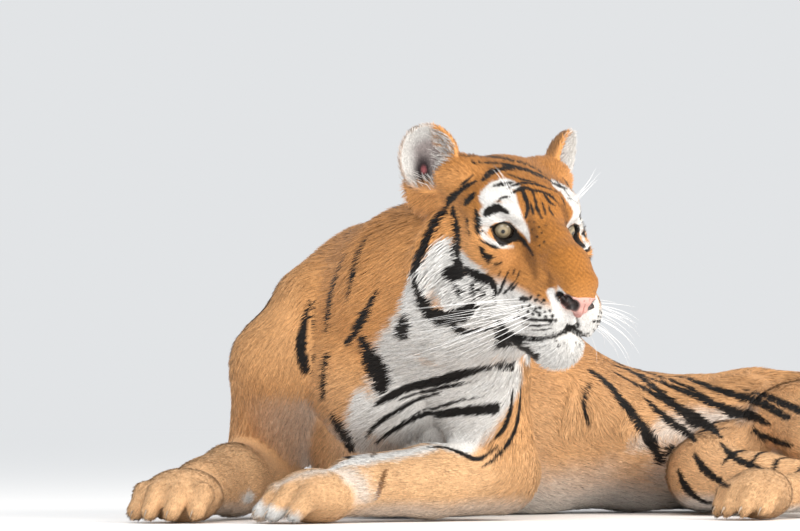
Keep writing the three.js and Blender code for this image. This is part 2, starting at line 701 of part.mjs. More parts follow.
// A limb's node is the flesh inside its own block, less the blocks before it in this list.
const FOREARM = new THREE.Matrix4().makeRotationZ(radians(-42)).setPosition(...ELBOW.left, 0);
const LIMBS = [
  { name: "left_forepaw", low: [-92, -430, -5], high: [92, -240, 150], cell: PAW_CELL, frame: FOREARM },
  { name: "left_forearm", low: [-82, -240.3, -5], high: [82, -44, 130], cell: LEG_CELL, frame: FOREARM },
  { name: "right_forepaw", low: [-330, -380, -5], high: [-125, -196, 150], cell: PAW_CELL },
  { name: "right_forearm", low: [-330, -195.7, -5], high: [-125, 4, 126], cell: LEG_CELL },
  { name: "right_hindpaw", low: [440, 20, -5], high: [667, 256, 140], cell: PAW_CELL },
  { name: "left_hindpaw", low: [669, 60, -5], high: [880, 316, 140], cell: PAW_CELL },
  { name: "left_shank", low: [652, 316.3, -5], high: [890, 480, 170], cell: LEG_CELL },
  { name: "tail_base", low: [655, 600, -5], high: [800, 860, 200], cell: TAIL_CELL },
  { name: "tail_middle", low: [800.3, 480, -5], high: [1100, 860, 120], cell: TAIL_CELL },
  { name: "tail_tip", low: [890.4, 120, -5], high: [1100, 479.7, 120], cell: TAIL_CELL },
  { name: "left_upper_arm", low: [98, -130, -5], high: [330, 150, 264], cell: SHOULDER_CELL },
  { name: "right_upper_arm", low: [-340, -120, -5], high: [-98, 170, 264], cell: SHOULDER_CELL },
];

// Corners of a block, whatever way its frame is turned.
function boundsOf(low, high, frame) {
  return new THREE.Box3(vec(...low), vec(...high)).applyMatrix4(frame);
}

function addLimbs(taken) {
  for (const { name, low, high, cell, frame = BODY } of LIMBS) {
    const bounds = boundsOf(low, high, frame);
    const flesh = fleshIn(bounds.min.toArray(), bounds.max.toArray(), cell);
    let solid = flesh.intersect(block(low, high, 0, frame));
    for (const other of taken) solid = solid.subtract(other);
    addNode(name, solid, ORANGE);
    taken.push(block(low, high, GAP, frame));
  }
}

// The two sides of a flat cut: what lies ahead of it, and what lies behind.
function split(solid, [point, direction]) {
  const ahead = solid.intersect(beyond(point, direction, GAP));
  return [ahead, solid.subtract(beyond(point, direction))];
}

function minus(solid, others) {
  return others.reduce((left, other) => left.subtract(other), solid);
}

// Both thighs and the right shank, which the left knee crosses.
const HIND = [[335, 256.3, -5], [668, 590, 320]];
const SHANK_ROOM = [[455, 0, -5], [651.7, 470, 300]];
const UNDER_KNEE = [vec(550, 355, 85), vec(0.27, 0.75, 0.6)]; // planes: a point and a direction
const BETWEEN_THIGHS = [vec(478, 510, 109), vec(0.86, 0.15, 0.49)];

function addHindquarters(taken) {
  const hind = minus(fleshIn(...HIND, THIGH_CELL).intersect(block(...HIND)), taken);
  const shank = hind.intersect(block(...SHANK_ROOM).subtract(beyond(...UNDER_KNEE)));
  addNode("right_shank", shank, ORANGE);
  const shankAndGap = block(...SHANK_ROOM, GAP).subtract(beyond(...UNDER_KNEE, GAP));
  const [left, right] = split(hind.subtract(shankAndGap), BETWEEN_THIGHS);
  addNode("left_thigh", left, ORANGE);
  addNode("right_thigh", right, ORANGE);
  taken.push(block(...HIND, GAP));
}

// The trunk and neck, from the tail's root to the head.
const TRUNK = [[-340, -420, -5], [700, 860, 520]];
const BEFORE_HIPS = [vec(345, 612, 0), vec(0.88, 0.47, 0)];
const BEHIND_RIBS = [vec(45, 300, 180), vec(0.35, 0.94, 0)];
const BEFORE_SHOULDERS = [vec(60, -170, 200), vec(0.684, -0.475, 0.551)];

function addTrunk(taken) {
  const whole = minus(fleshIn(...TRUNK, TRUNK_CELL), taken);
  const [hips, front] = split(whole, BEFORE_HIPS);
  const [waist, fore] = split(front, BEHIND_RIBS);
  const [neck, chest] = split(fore, BEFORE_SHOULDERS);
  addNode("neck", neck, ORANGE);
  addNode("chest", chest, ORANGE);
  addNode("abdomen", waist, ORANGE);
  addNode("pelvis", hips, ORANGE);
}

addNode("head", head(), PALE);
for (const [name, sign] of SIDES) {
  addNode(`${name}_ear`, ear(sign), ORANGE);
  addNode(`${name}_eye`, eyeball(sign).transform(headMatrix.elements), IRIS, EYE_ROUGHNESS);
}
const taken = [headBlock(GAP), ear(1, GAP), ear(-1, GAP)];
addLimbs(taken);
addHindquarters(taken);
addTrunk(taken);
const part = new THREE.Group();
part.add(...nodes);
part.position.set(...CHEST_REST).negate();

export default part;
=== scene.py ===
"""A Siberian tiger that lies with its head up and turned: its skin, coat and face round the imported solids.

Lengths here are millimetres in the layout frame of the solids: +Z up from the floor, -Y the way the
chest faces, +X the animal's left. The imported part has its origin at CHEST_REST of that frame.
"""
import math

import bpy
import numpy as np
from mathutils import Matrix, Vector
from mathutils.bvhtree import BVHTree
from mathutils.kdtree import KDTree


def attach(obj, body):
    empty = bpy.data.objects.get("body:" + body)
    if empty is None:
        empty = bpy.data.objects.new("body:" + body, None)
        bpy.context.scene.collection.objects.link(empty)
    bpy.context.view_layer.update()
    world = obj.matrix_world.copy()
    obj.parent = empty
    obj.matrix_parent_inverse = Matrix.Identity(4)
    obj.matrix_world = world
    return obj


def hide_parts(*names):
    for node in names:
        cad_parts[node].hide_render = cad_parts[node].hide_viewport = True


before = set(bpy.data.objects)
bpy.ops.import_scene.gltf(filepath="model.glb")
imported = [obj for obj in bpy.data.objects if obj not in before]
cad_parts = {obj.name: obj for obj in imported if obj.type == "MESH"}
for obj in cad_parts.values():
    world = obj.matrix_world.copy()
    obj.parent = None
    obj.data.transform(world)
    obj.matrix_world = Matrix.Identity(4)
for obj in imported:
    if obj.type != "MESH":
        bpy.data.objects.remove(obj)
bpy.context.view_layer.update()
random = np.random.default_rng(11)

# ---------------------------------------------------------------- driving dimensions
UP = np.array([0, 0, 1.0])
CHEST_REST = np.array([20.0, 150.0, 0.0])
SKIN_FLOOR = 0.8  # nothing of the skin or coat is lower

# The head's frame: x to its left, y forward, z up, from the point midway between the irises
EYE_MIDDLE = np.array([296.0, -236.0, 412.0])
HEAD_YAW = 48
HEAD_PITCH = 22
EYE_SPACING = 117
EYEBALL_RADIUS = 19
EYE_YAW = -28
EYE_SLANT = -9
EYE_DROP = 3.5
EAR_AT = (113, -136, 52)
EAR_YAW = -38
EAR_ROLL = 16

# The photograph's camera: frame and place of EYE_MIDDLE in pixels, then degrees, mm, mm and mm a pixel
FRAME_SIZE = (800, 531)
EYE_PIXEL = (538.5, 230)
VIEW_AZIMUTH = 16
VIEW_DISTANCE = 6000
VIEW_HEIGHT = 150
PIXEL_AT_HEAD = 1.4

# The coat of each part of the body: depth over the skin, length, width and lift in degrees of a tuft
COATS = {
    "crown": (5, 13, 1.5, 15),
    "forehead": (3, 9, 1.2, 12),
    "bridge": (2, 5.5, 0.9, 8),
    "muzzle": (2.5, 6.5, 1.0, 10),
    "nose": (5, 3.5, 0.8, 8),
    "chin": (4, 15, 1.2, 24),
    "cheek": (4.5, 14, 1.4, 14),
    "jowl": (11, 20, 1.5, 27),
    "under": (9, 19, 1.5, 25),
    "brow": (2.5, 7, 1.0, 10),
    "ear root": (5, 17, 1.5, 27),
    "trunk": (9, 22, 1.95, 11),
    "neck": (11, 23, 1.95, 14),
    "shoulder": (8, 18, 1.8, 11),
    "arm": (6, 15, 1.7, 11),
    "paw": (3, 10, 1.3, 13),
    "thigh": (7, 20, 1.9, 12),
    "shank": (5, 14, 1.7, 11),
    "tail": (8, 21, 1.9, 15),
    "ear": (2, 8, 1.1, 16),
}
KINDS = list(COATS)
COAT_TABLE = np.array(list(COATS.values()), float)


def unit(v):
    return v / np.maximum(np.linalg.norm(v, axis=-1, keepdims=True), 1e-9)


def ramp(value, low, high):
    """0 at low, 1 at high, smooth between them."""
    t = np.clip((value - low) / (high - low), 0, 1)
    return t * t * (3 - 2 * t)


def turned(yaw, roll=0, sign=1):
    """Axes turned outwards by yaw, then rolled, on the side given by sign."""
    a, b = math.radians(yaw * sign), math.radians(roll * sign)
    about_up = np.array([[math.cos(a), -math.sin(a), 0], [math.sin(a), math.cos(a), 0], [0, 0, 1]])
    about_forward = np.array([[math.cos(b), 0, math.sin(b)], [0, 1, 0], [-math.sin(b), 0, math.cos(b)]])
    return about_up @ about_forward


def level_axes(heading):
    """Side and forward axes, level, turned left of the chest's way by a heading in degrees."""
    a = math.radians(heading)
    return np.array([math.cos(a), math.sin(a), 0]), np.array([math.sin(a), -math.cos(a), 0])


def head_axes():
    """Columns: left, forward and up of the head."""
    left, flat = level_axes(HEAD_YAW)
    pitch = math.radians(HEAD_PITCH)
    forward = flat * math.cos(pitch) - UP * math.sin(pitch)
    return np.stack([left, forward, flat * math.sin(pitch) + UP * math.cos(pitch)], 1)


HEAD = head_axes()


def from_head(p):
    return EYE_MIDDLE + np.asarray(p, float) @ HEAD.T


def to_head(p):
    return (np.asarray(p, float) - EYE_MIDDLE) @ HEAD


# ---------------------------------------------------------------- lobes of flesh
LOBE_MARGIN = 34


class Lobe:
    """A stretch from a to b. An end is (place, half width, half height, side axis, up axis).

    blend is how softly it joins what is there, cap how far its ends round out, in its smaller half size,
    kind its row of COATS, and flow the way its coat lies, or None on the head.
    """

    def __init__(self, a, b, blend, cap, kind, flow):
        self.a, self.b, self.blend, self.cap, self.kind, self.flow = a, b, blend, cap, kind, flow
        reach = max(a[1], a[2], b[1], b[2], cap * min(a[1], a[2])) + LOBE_MARGIN
        self.low = np.minimum(a[0], b[0]) - reach
        self.high = np.maximum(a[0], b[0]) + reach

    def placed(self, axes, origin):
        ends = [(origin + axes @ e[0], e[1], e[2], axes @ e[3], axes @ e[4]) for e in (self.a, self.b)]
        flow = None if self.flow is None else axes @ self.flow
        return Lobe(*ends, self.blend, self.cap, self.kind, flow)

    def distance(self, x, y, z):
        (pa, wa, ha, sa, ua), (pb, wb, hb, sb, ub) = self.a, self.b
        span = pb - pa
        length_sq = max(float(span @ span), 1e-9)
        vx, vy, vz = x - pa[0], y - pa[1], z - pa[2]
        t = np.clip((vx * span[0] + vy * span[1] + vz * span[2]) / length_sq, 0, 1)
        vx, vy, vz = vx - t * span[0], vy - t * span[1], vz - t * span[2]
        ds, du = sb - sa, ub - ua
        u = vx * (sa[0] + t * ds[0]) + vy * (sa[1] + t * ds[1]) + vz * (sa[2] + t * ds[2])
        w = vx * (ua[0] + t * du[0]) + vy * (ua[1] + t * du[1]) + vz * (ua[2] + t * du[2])
        away = vx * vx + vy * vy + vz * vz
        wide, high = wa + t * (wb - wa), ha + t * (hb - ha)
        cap = np.minimum(wide, high) * self.cap
        rest = np.maximum(away - u * u - w * w, 0)
        q = np.sqrt((u / wide) ** 2 + (w / high) ** 2 + rest / (cap * cap))
        return np.sqrt(away) * (1 - 1 / np.maximum(q, 1e-4)) - np.where(q < 1e-3, cap, 0)


def chain(stations, blend, kind, up=(0, 0, 1), cap=1.0, flow=1):
    """Lobes through stations (x, y, z, half width, half height, roll), shrunk by the coat's depth."""
    rows = [tuple(s) + (0,) * (6 - len(s)) for s in stations]
    points = np.array([r[:3] for r in rows], float)
    coat = COATS[kind][0]
    ends = []
    for i, row in enumerate(rows):
        along = unit(points[min(i + 1, len(rows) - 1)] - points[max(i - 1, 0)])
        side = unit(np.cross(along, up))
        top = np.cross(side, along)
        c, s = math.cos(math.radians(row[5])), math.sin(math.radians(row[5]))
        ends.append((points[i], row[3] - coat, row[4] - coat, side * c + top * s, top * c - side * s))
    return [Lobe(a, b, blend, cap, kind, flow * unit(b[0] - a[0])) for a, b in zip(ends, ends[1:])]


def ball(centre, radii, blend, kind, axes=np.eye(3), flow=None, coat=None):
    """An ellipsoid with radii (side, forward, up) about axes, shrunk by the coat's depth."""
    rs, rf, ru = (r - (COATS[kind][0] if coat is None else coat) for r in radii)
    centre = np.asarray(centre, float)
    ends = [(centre + axes[:, 1] * s, rs, ru, axes[:, 0], axes[:, 2]) for s in (-1e-3, 1e-3)]
    return Lobe(*ends, blend, rf / min(rs, ru), kind, flow)


def head_lobes():
    """Places and radii in the head's frame, out to the coat."""
    lobes = [
        ball((0, -92, -4), (92, 92, 82), 34, "crown"),
        ball((0, -34, 16), (62, 52, 46), 30, "forehead"),
        *chain([(0, -16, 16, 42, 30), (0, 36, -6, 29, 28), (0, 86, -20, 31, 28), (0, 122, -34, 31, 24)],
               22, "bridge"),
        *chain([(0, -10, -62, 68, 52), (0, 50, -72, 54, 48), (0, 88, -80, 46, 44)], 28, "muzzle"),
        ball((0, 134, -52), (29, 18, 22), 12, "nose"),
        *chain([(0, -20, -104, 66, 46), (0, 50, -122, 52, 40), (0, 103, -132, 40, 37)], 24, "chin"),
    ]
    for sign in (1, -1):
        lobes += [
            ball((25 * sign, 91, -85), (35, 45, 42), 16, "muzzle", turned(-14, 0, sign)),
            ball((60 * sign, -34, -30), (40, 62, 50), 34, "cheek", turned(-16, 0, sign)),
            ball((78 * sign, -88, -72), (54, 48, 76), 40, "jowl", turned(-10, 0, sign)),
            ball((52 * sign, -30, -104), (50, 60, 48), 36, "under"),
            ball((43 * sign, -7, 25), (28, 22, 14), 24, "brow", turned(-22, -14, sign)),
            ball((54 * sign, -56, 20), (40, 42, 32), 28, "forehead"),
            ball((70 * sign, -112, 38), (46, 42, 36), 30, "crown"),
            ball((92 * sign, -146, 10), (44, 26, 46), 24, "ear root", turned(EAR_YAW, EAR_ROLL, sign)),
        ]
    for lobe in lobes:
        lobe.flow = None
    return lobes


# Where each toe lies across the paw, in its half width, and how far it reaches, in its length
TOES = ((-0.66, 0.86), (-0.24, 1), (0.24, 1), (0.66, 0.86))


def paw(x, y, heading, length, width):
    """A paw flat on the floor: the wrist's place and the way it points, then length and half width."""
    side, forward = level_axes(heading)

    def place(s, f, u):
        return np.array([x, y, 0.0]) + s * side + f * forward + u * UP

    axes = np.stack([side, forward, UP], 1)
    radii = (width * 0.92, length * 0.5, 42)
    lobes = [ball(place(0, length * 0.42, 38), radii, 26, "paw", axes, forward)]
    for across, reach in TOES:
        lobes += chain([
            (*place(across * width * 0.9, length * 0.5, 40), 17, 22),
            (*place(across * width * 1.05, length * (reach - 0.18), 40), 18.5, 21),
            (*place(across * width * 1.1, length * (reach + 0.04), 17), 16, 16),
        ], 11, "paw")
    return lobes


# Stations of the body: x, y, z, half width, half height and, where it is rolled over, the roll
TRUNK = [
    (8, -45, 222, 112, 128), (0, 55, 208, 150, 210), (18, 225, 182, 166, 192, 14),
    (98, 410, 152, 158, 168, 42), (245, 560, 112, 110, 126, 68), (425, 655, 110, 116, 132, 74),
    (560, 700, 108, 106, 114, 78),
]
NECK = [
    (0, 40, 300, 150, 150), (90, -50, 325, 140, 142), (165, -115, 345, 128, 130), (215, -160, 365, 112, 118),
]
TAIL = [
    (590, 712, 118, 62, 62), (680, 742, 72, 44, 46), (790, 730, 42, 36, 38), (895, 655, 36, 33, 34),
    (960, 530, 34, 31, 32), (978, 395, 32, 30, 30), (955, 270, 30, 28, 28), (905, 180, 28, 24, 26),
]
LEFT_ARM = [(184, -20, 66, 60, 62), (104, -116, 58, 55, 56), (20, -212, 52, 48, 48)]
RIGHT_ARM = [(-196, 40, 66, 60, 62), (-206, -80, 58, 54, 56), (-212, -205, 50, 46, 46)]
LEFT_THIGH = [(490, 650, 134, 96, 90), (535, 520, 142, 96, 66), (580, 405, 116, 70, 58)]
LEFT_SHANK = [(585, 395, 112, 64, 56), (700, 365, 74, 46, 46), (810, 345, 48, 36, 40)]
RIGHT_THIGH = [(450, 625, 78, 92, 76), (420, 500, 76, 90, 72), (400, 400, 66, 66, 62)]
RIGHT_SHANK = [(400, 390, 60, 60, 56), (505, 330, 52, 46, 46), (600, 285, 46, 36, 40)]
LEFT_INSTEP = [(812, 343, 42, 34, 38), (775, 225, 36, 30, 32)]
RIGHT_INSTEP = [(600, 285, 42, 34, 38), (560, 170, 36, 30, 32)]
# Left and right, by sign
ELBOWS = {1: (184, -20), -1: (-196, 40)}
SHOULDERS = {1: (146, -40, 225), -1: (-140, -20, 225)}
# Left and right forepaw, right and left hind paw
PAWS = (
    (12, -222, -42, 124, 64), (-212, -215, -6, 124, 64),
    (556, 162, -20, 108, 54), (772, 216, -18, 108, 54),
)


def body_lobes():
    lobes = chain(TRUNK, 50, "trunk", cap=0.8) + chain(NECK, 50, "neck", flow=-1)
    for sign in (1, -1):
        lobes += chain([
            (sign * 62, 90, 360, 60, 96), (sign * 112, 20, 300, 66, 96), (*SHOULDERS[sign], 84, 92),
            (*ELBOWS[sign], 78, 62, 66),
        ], 44, "shoulder", up=(0, 1, 0))
    lobes += chain(LEFT_ARM, 24, "arm") + paw(*PAWS[0])
    lobes += chain(RIGHT_ARM, 24, "arm") + paw(*PAWS[1])
    lobes += chain(RIGHT_THIGH, 30, "thigh") + chain(RIGHT_SHANK, 24, "shank")
    lobes += chain(RIGHT_INSTEP, 18, "shank") + paw(*PAWS[2])
    lobes += chain(LEFT_THIGH, 34, "thigh") + chain(LEFT_SHANK, 24, "shank")
    lobes += chain(LEFT_INSTEP, 18, "shank") + paw(*PAWS[3])
    return lobes + chain(TAIL, 30, "tail")


# ---------------------------------------------------------------- fields and their surfaces
def smooth_min(a, b, blend):
    h = np.maximum(blend - np.abs(a - b), 0) / blend
    return np.minimum(a, b) - h * h * h * blend / 6


def smooth_max(a, b, blend):
    return -smooth_min(-a, -b, blend)


def grid_axis(*spans):
    """Grid lines through spans of (start, cell), up to the last start."""
    parts = [np.arange(a, b, cell) for (a, cell), (b, _) in zip(spans, spans[1:])]
    return np.concatenate([*parts, [spans[-1][0]]]).astype(np.float32)


class Field:
    """Distances on the lines of a grid, changed lobe by lobe inside each lobe's own box."""

    FAR = 60

    def __init__(self, axes):
        self.axes = axes
        self.values = np.full([len(a) for a in axes], self.FAR, np.float32)

    def apply(self, low, high, change):
        cuts = [slice(*np.searchsorted(a, (l, h))) for a, l, h in zip(self.axes, low, high)]
        if any(c.start >= c.stop for c in cuts):
            return
        x, y, z = (a[c] for a, c in zip(self.axes, cuts))
        place = (x[:, None, None], y[None, :, None], z[None, None, :])
        self.values[tuple(cuts)] = change(self.values[tuple(cuts)], place)

    def join(self, lobe):
        self.apply(lobe.low, lobe.high, lambda old, p: smooth_min(old, lobe.distance(*p), lobe.blend))

    def carve(self, lobe):
        self.apply(lobe.low, lobe.high, lambda old, p: smooth_max(old, -lobe.distance(*p), lobe.blend))

    def join_cup(self, outer, inner, blend):
        def change(old, p):
            cup = smooth_max(outer.distance(*p), -inner.distance(*p), inner.blend)
            return smooth_min(old, cup, blend)
        self.apply(outer.low, outer.high, change)

    def surface(self):
        """Surface nets: one vertex for each cell that the surface crosses. Vertices and quads."""
        f, axes = self.values, self.axes
        inside = f < 0
        shape = np.array(f.shape)
        cells = shape - 1
        total = np.zeros((int(np.prod(cells)), 3), np.float32)
        count = np.zeros(int(np.prod(cells)), np.float32)
        quads = []
        for axis in range(3):
            low, high = [slice(None)] * 3, [slice(None)] * 3
            low[axis], high[axis] = slice(0, -1), slice(1, None)
            crossing = inside[tuple(low)] != inside[tuple(high)]
            at = np.argwhere(crossing)
            a, b = f[tuple(low)][crossing], f[tuple(high)][crossing]
            point = np.stack([axes[c][at[:, c]] for c in range(3)], 1)
            step = axes[axis][at[:, axis] + 1] - axes[axis][at[:, axis]]
            point[:, axis] += a / (a - b) * step
            others = [c for c in range(3) if c != axis]
            corners = []
            for d0, d1 in ((0, 0), (1, 0), (1, 1), (0, 1)):
                cell = at.copy()
                cell[:, others[0]] -= d0
                cell[:, others[1]] -= d1
                index = (cell[:, 0] * cells[1] + cell[:, 1]) * cells[2] + cell[:, 2]
                corners.append(index)
                for c in range(3):
                    total[:, c] += np.bincount(index, point[:, c], len(total)).astype(np.float32)
                count += np.bincount(index, minlength=len(count)).astype(np.float32)
            quad = np.stack(corners, 1)
            flip = inside[tuple(low)][crossing] != (axis == 1)
            quad[flip] = quad[flip][:, ::-1]
            quads.append(quad)
        quads = np.concatenate(quads)
        used, order = np.unique(quads, return_inverse=True)
        points = (total[used] / count[used][:, None]).astype(float)
        return points, order.reshape(quads.shape)[:, ::-1]


def relaxed(points, quads, rounds):
    """Points drawn half way to the middle of their neighbours, so many times."""
    a = np.concatenate([quads[:, i] for i in range(4)])
    b = np.concatenate([quads[:, (i + 1) % 4] for i in range(4)])
    n = np.bincount(a, minlength=len(points))[:, None]
    for _ in range(rounds):
        middle = np.stack([np.bincount(a, points[b, c], len(points)) for c in range(3)], 1) / n
        points = points + 0.5 * (middle - points)
    return points


def normals_of(points, quads):
    """Vertex normals, weighted by the area of the quads round each vertex."""
    across = np.cross(points[quads[:, 2]] - points[quads[:, 0]], points[quads[:, 3]] - points[quads[:, 1]])
    out = np.zeros_like(points)
    for c in range(3):
        for i in range(4):
            out[:, c] += np.bincount(quads[:, i], across[:, c], len(points))
    return unit(out)


# ---------------------------------------------------------------- Blender meshes
def metres(points):
    return (points - CHEST_REST) / 1000


def add_object(name, data):
    made = bpy.data.objects.new(name, data)
    bpy.context.scene.collection.objects.link(made)
    return made


def add_mesh(name, points, faces, material, replaces=(), slot="coat"):
    """A piece on the root body from points in the layout frame."""
    mesh = bpy.data.meshes.new(name)
    sides = faces.shape[1]
    mesh.vertices.add(len(points))
    mesh.vertices.foreach_set("co", metres(points).astype(np.float32).ravel())
    mesh.loops.add(faces.size)
    mesh.loops.foreach_set("vertex_index", faces.astype(np.int32).ravel())
    mesh.polygons.add(len(faces))
    mesh.polygons.foreach_set("loop_start", np.arange(0, faces.size, sides, dtype=np.int32))
    mesh.polygons.foreach_set("use_smooth", np.full(len(faces), True))
    mesh.update(calc_edges=True)
    mesh.materials.append(material)
    piece = add_object(name, mesh)
    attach(piece, "root")
    if replaces:
        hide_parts(*replaces)
    return piece


def add_colours(piece, colours):
    rgba = np.ones((len(colours), 4), np.float32)
    rgba[:, :3] = colours
    attribute = piece.data.attributes.new("coat", "FLOAT_COLOR", "POINT")
    attribute.data.foreach_set("color", rgba.ravel())


def eye_frame(sign):
    """Axes and centre of an eyeball in the head's frame."""
    axes = turned(EYE_YAW, EYE_SLANT, sign)
    return axes, np.array([EYE_SPACING / 2 * sign, 0, -EYE_DROP]) - axes[:, 1] * EYEBALL_RADIUS


def ear_lobes(sign):
    """An ear's outside and the hollow of its cup."""
    axes = turned(EAR_YAW, EAR_ROLL, sign)
    origin = np.array([EAR_AT[0] * sign, EAR_AT[1], EAR_AT[2]], float)
    outer = ball(origin - 3 * axes[:, 1], (45, 24, 53), 16, "ear root", axes, coat=2)
    inner = ball(origin + axes @ np.array([0, 9, 4]), (38, 22, 47), 5, "ear root", axes, coat=0)
    return outer.placed(HEAD, EYE_MIDDLE), inner.placed(HEAD, EYE_MIDDLE)


def ear_local(head, sign):
    """Points of the head's frame in the axes of an ear, from the middle of its cup."""
    return (head - np.array([EAR_AT[0] * sign, EAR_AT[1], EAR_AT[2]])) @ turned(EAR_YAW, EAR_ROLL, sign)


# The left nostril's round opening, and the slit that rises round its wing: place, radii, yaw and roll
NOSTRIL = (
    ((19.5, 147, -61), (9.5, 15, 10), -26, 0),
    ((25, 138, -55.5), (9, 14, 7.5), -55, -29),
    ((30, 128, -54.5), (12.5, 13, 4.8), -55, -29),
)


def nostril_holes(sign, grow=0):
    """The holes of the nostril on one side, in the head's frame."""
    return [
        ball((x * sign, y, z), [r + grow for r in radii], 3, "nose", turned(yaw, roll, sign), coat=0)
        for (x, y, z), radii, yaw, roll in NOSTRIL
    ]


# What is carved round each eyeball: radii, place from its centre in the left eye's axes, and blend
EYE_HOLES = (
    ((18.5, 20, 12.5), (-2.5, EYEBALL_RADIUS + 7, 0), 3),  # the opening between the lids
    ([EYEBALL_RADIUS + 0.6] * 3, (0, 0, 0), 1.5),  # the socket
    ((34, 38, 24), (31, 55, 0), 8),  # the temple beside it
)


def eye_holes(sign):
    axes, centre = eye_frame(sign)
    return [
        ball(centre + axes @ np.array([x * sign, y, z]), radii, blend, "brow", axes, coat=0)
        for radii, (x, y, z), blend in EYE_HOLES
    ]


HEAD_CELL = 2.6
PAW_CELL = 6
BODY_CELL = 9
BODY = body_lobes()
HEAD_LOBES = [lobe.placed(HEAD, EYE_MIDDLE) for lobe in head_lobes()]


def skin_surface():
    """The skin, inside the coat: the joined lobes with the ears' cups and the eyes' openings."""
    field = Field([
        grid_axis((-330, PAW_CELL), (85, HEAD_CELL), (445, BODY_CELL), (1030, 0)),
        grid_axis((-440, HEAD_CELL), (-25, BODY_CELL), (840, 0)),
        grid_axis((-12, PAW_CELL), (210, HEAD_CELL), (575, 0)),
    ])
    for lobe in BODY + HEAD_LOBES:
        field.join(lobe)
    for sign in (1, -1):
        outer, inner = ear_lobes(sign)
        field.join_cup(outer, inner, 9)
        for hole in (*eye_holes(sign), *nostril_holes(sign, 1.2)):
            field.carve(hole.placed(HEAD, EYE_MIDDLE))
    field.values = np.maximum(field.values, SKIN_FLOOR - field.axes[2][None, None, :])
    points, quads = field.surface()
    return relaxed(points, quads, 2), quads


# ---------------------------------------------------------------- what each place on the skin is like
def share_of(shares, *kinds):
    return shares[:, [KINDS.index(kind) for kind in kinds]].sum(1)


def head_lie(h):
    """The way the coat lies on the head, in its own axes: back from the nose, outward and down the cheeks."""
    side, ahead, up = h[:, 0], h[:, 1], h[:, 2]
    below = ramp(-up, 20, 110)
    behind = ramp(-ahead, 10, 90)
    out = np.tanh(side / 30) * (0.25 + 0.35 * below)
    fall = ramp(-ahead, 15, 75) * ramp(-up, -25, 45)
    rise = 0.55 * ramp(up, -10, 60) * (1 - behind) - 0.25 * behind - 0.75 * below - 1.5 * fall
    return unit(np.stack([out, -np.ones(len(h)), rise], 1))


class Places:
    """Facts of points on the skin: normal, lie of the coat, share of each kind, and lift, which runs from -1
    at the belly to 1 at the spine."""

    def __init__(self, points, normals, lie, shares, lift):
        self.points, self.normals, self.lie, self.shares, self.lift = points, normals, lie, shares, lift
        self.head = to_head(points)

    def share(self, *kinds):
        return share_of(self.shares, *kinds)

    def moved(self, points):
        """The same facts with other points: those that hair from each root lies over."""
        return Places(points, self.normals, self.lie, self.shares, self.lift)

    def chosen(self, rows):
        facts = (self.points, self.normals, self.lie, self.shares, self.lift)
        return Places(*(values[rows] for values in facts))

    def sizes(self):
        """Depth, length, width and lift of the tufts at each place."""
        return self.shares @ COAT_TABLE

    def drawn(self, corners, weights):
        """The facts at points inside triangles of the skin."""
        def mean(values):
            return (values[corners] * weights.reshape(weights.shape + (1,) * (values.ndim - 1))).sum(1)
        return Places(mean(self.points), unit(mean(self.normals)), unit(mean(self.lie)),
                      mean(self.shares), mean(self.lift))


CHEST_LIE = np.array([-0.93, 0.0, -0.37])  # down and across to its right, along the chest's stripes
SHARE_SOFTNESS = 10


def places_on(points, normals):
    """The facts at the skin's own vertices, from the lobes near them."""
    x, y, z = points.T
    head = to_head(points)
    head_flow = head_lie(head) @ HEAD.T
    total = np.zeros(len(points))
    flow = np.zeros_like(points)
    shares = np.zeros((len(points), len(KINDS)))
    lift = np.zeros(len(points))
    for lobe in BODY + HEAD_LOBES:
        near = ((points > lobe.low) & (points < lobe.high)).all(1)
        if not near.any():
            continue
        d = lobe.distance(x[near], y[near], z[near])
        weight = np.exp(-np.clip(d, -25, 60) / SHARE_SOFTNESS)
        total[near] += weight
        shares[near, KINDS.index(lobe.kind)] += weight
        flow[near] += weight[:, None] * (head_flow[near] if lobe.flow is None else lobe.flow)
        if lobe.kind == "trunk":
            up = (lobe.a[4] + lobe.b[4]) / 2
            middle = (lobe.a[0] + lobe.b[0]) / 2
            lift[near] += weight * ((points[near] - middle) @ up) / max(lobe.a[2], lobe.b[2])
    lift /= np.maximum(share_of(shares, "trunk"), 1e-9)
    shares /= total[:, None]
    chest = share_of(shares, "neck", "shoulder", "trunk")
    chest *= ramp(-normals[:, 1], 0.1, 0.6) * ramp(x, -60, 0) * ramp(z, 90, 150)
    flow = flow * (1 - chest)[:, None] + chest[:, None] * CHEST_LIE * total[:, None]
    for sign in (1, -1):
        outer, _ = ear_lobes(sign)
        cup = ramp(-outer.distance(x, y, z), -2, 2) * ramp(ear_local(head, sign)[:, 2], -44, -28)
        shares *= (1 - cup)[:, None]
        shares[:, KINDS.index("ear")] += cup
        grain = (turned(EAR_YAW, EAR_ROLL, sign) @ UP) @ HEAD.T
        flow = flow * (1 - cup)[:, None] + cup[:, None] * grain * total[:, None]
    flow -= normals * (flow * normals).sum(1)[:, None]
    return Places(points, normals, unit(flow), shares, lift)


# ---------------------------------------------------------------- markings
OVERHEAD = 16
NOWHERE = -50.0  # the depth of a point that no stroke is near
PAIRS_AT_ONCE = 1500000


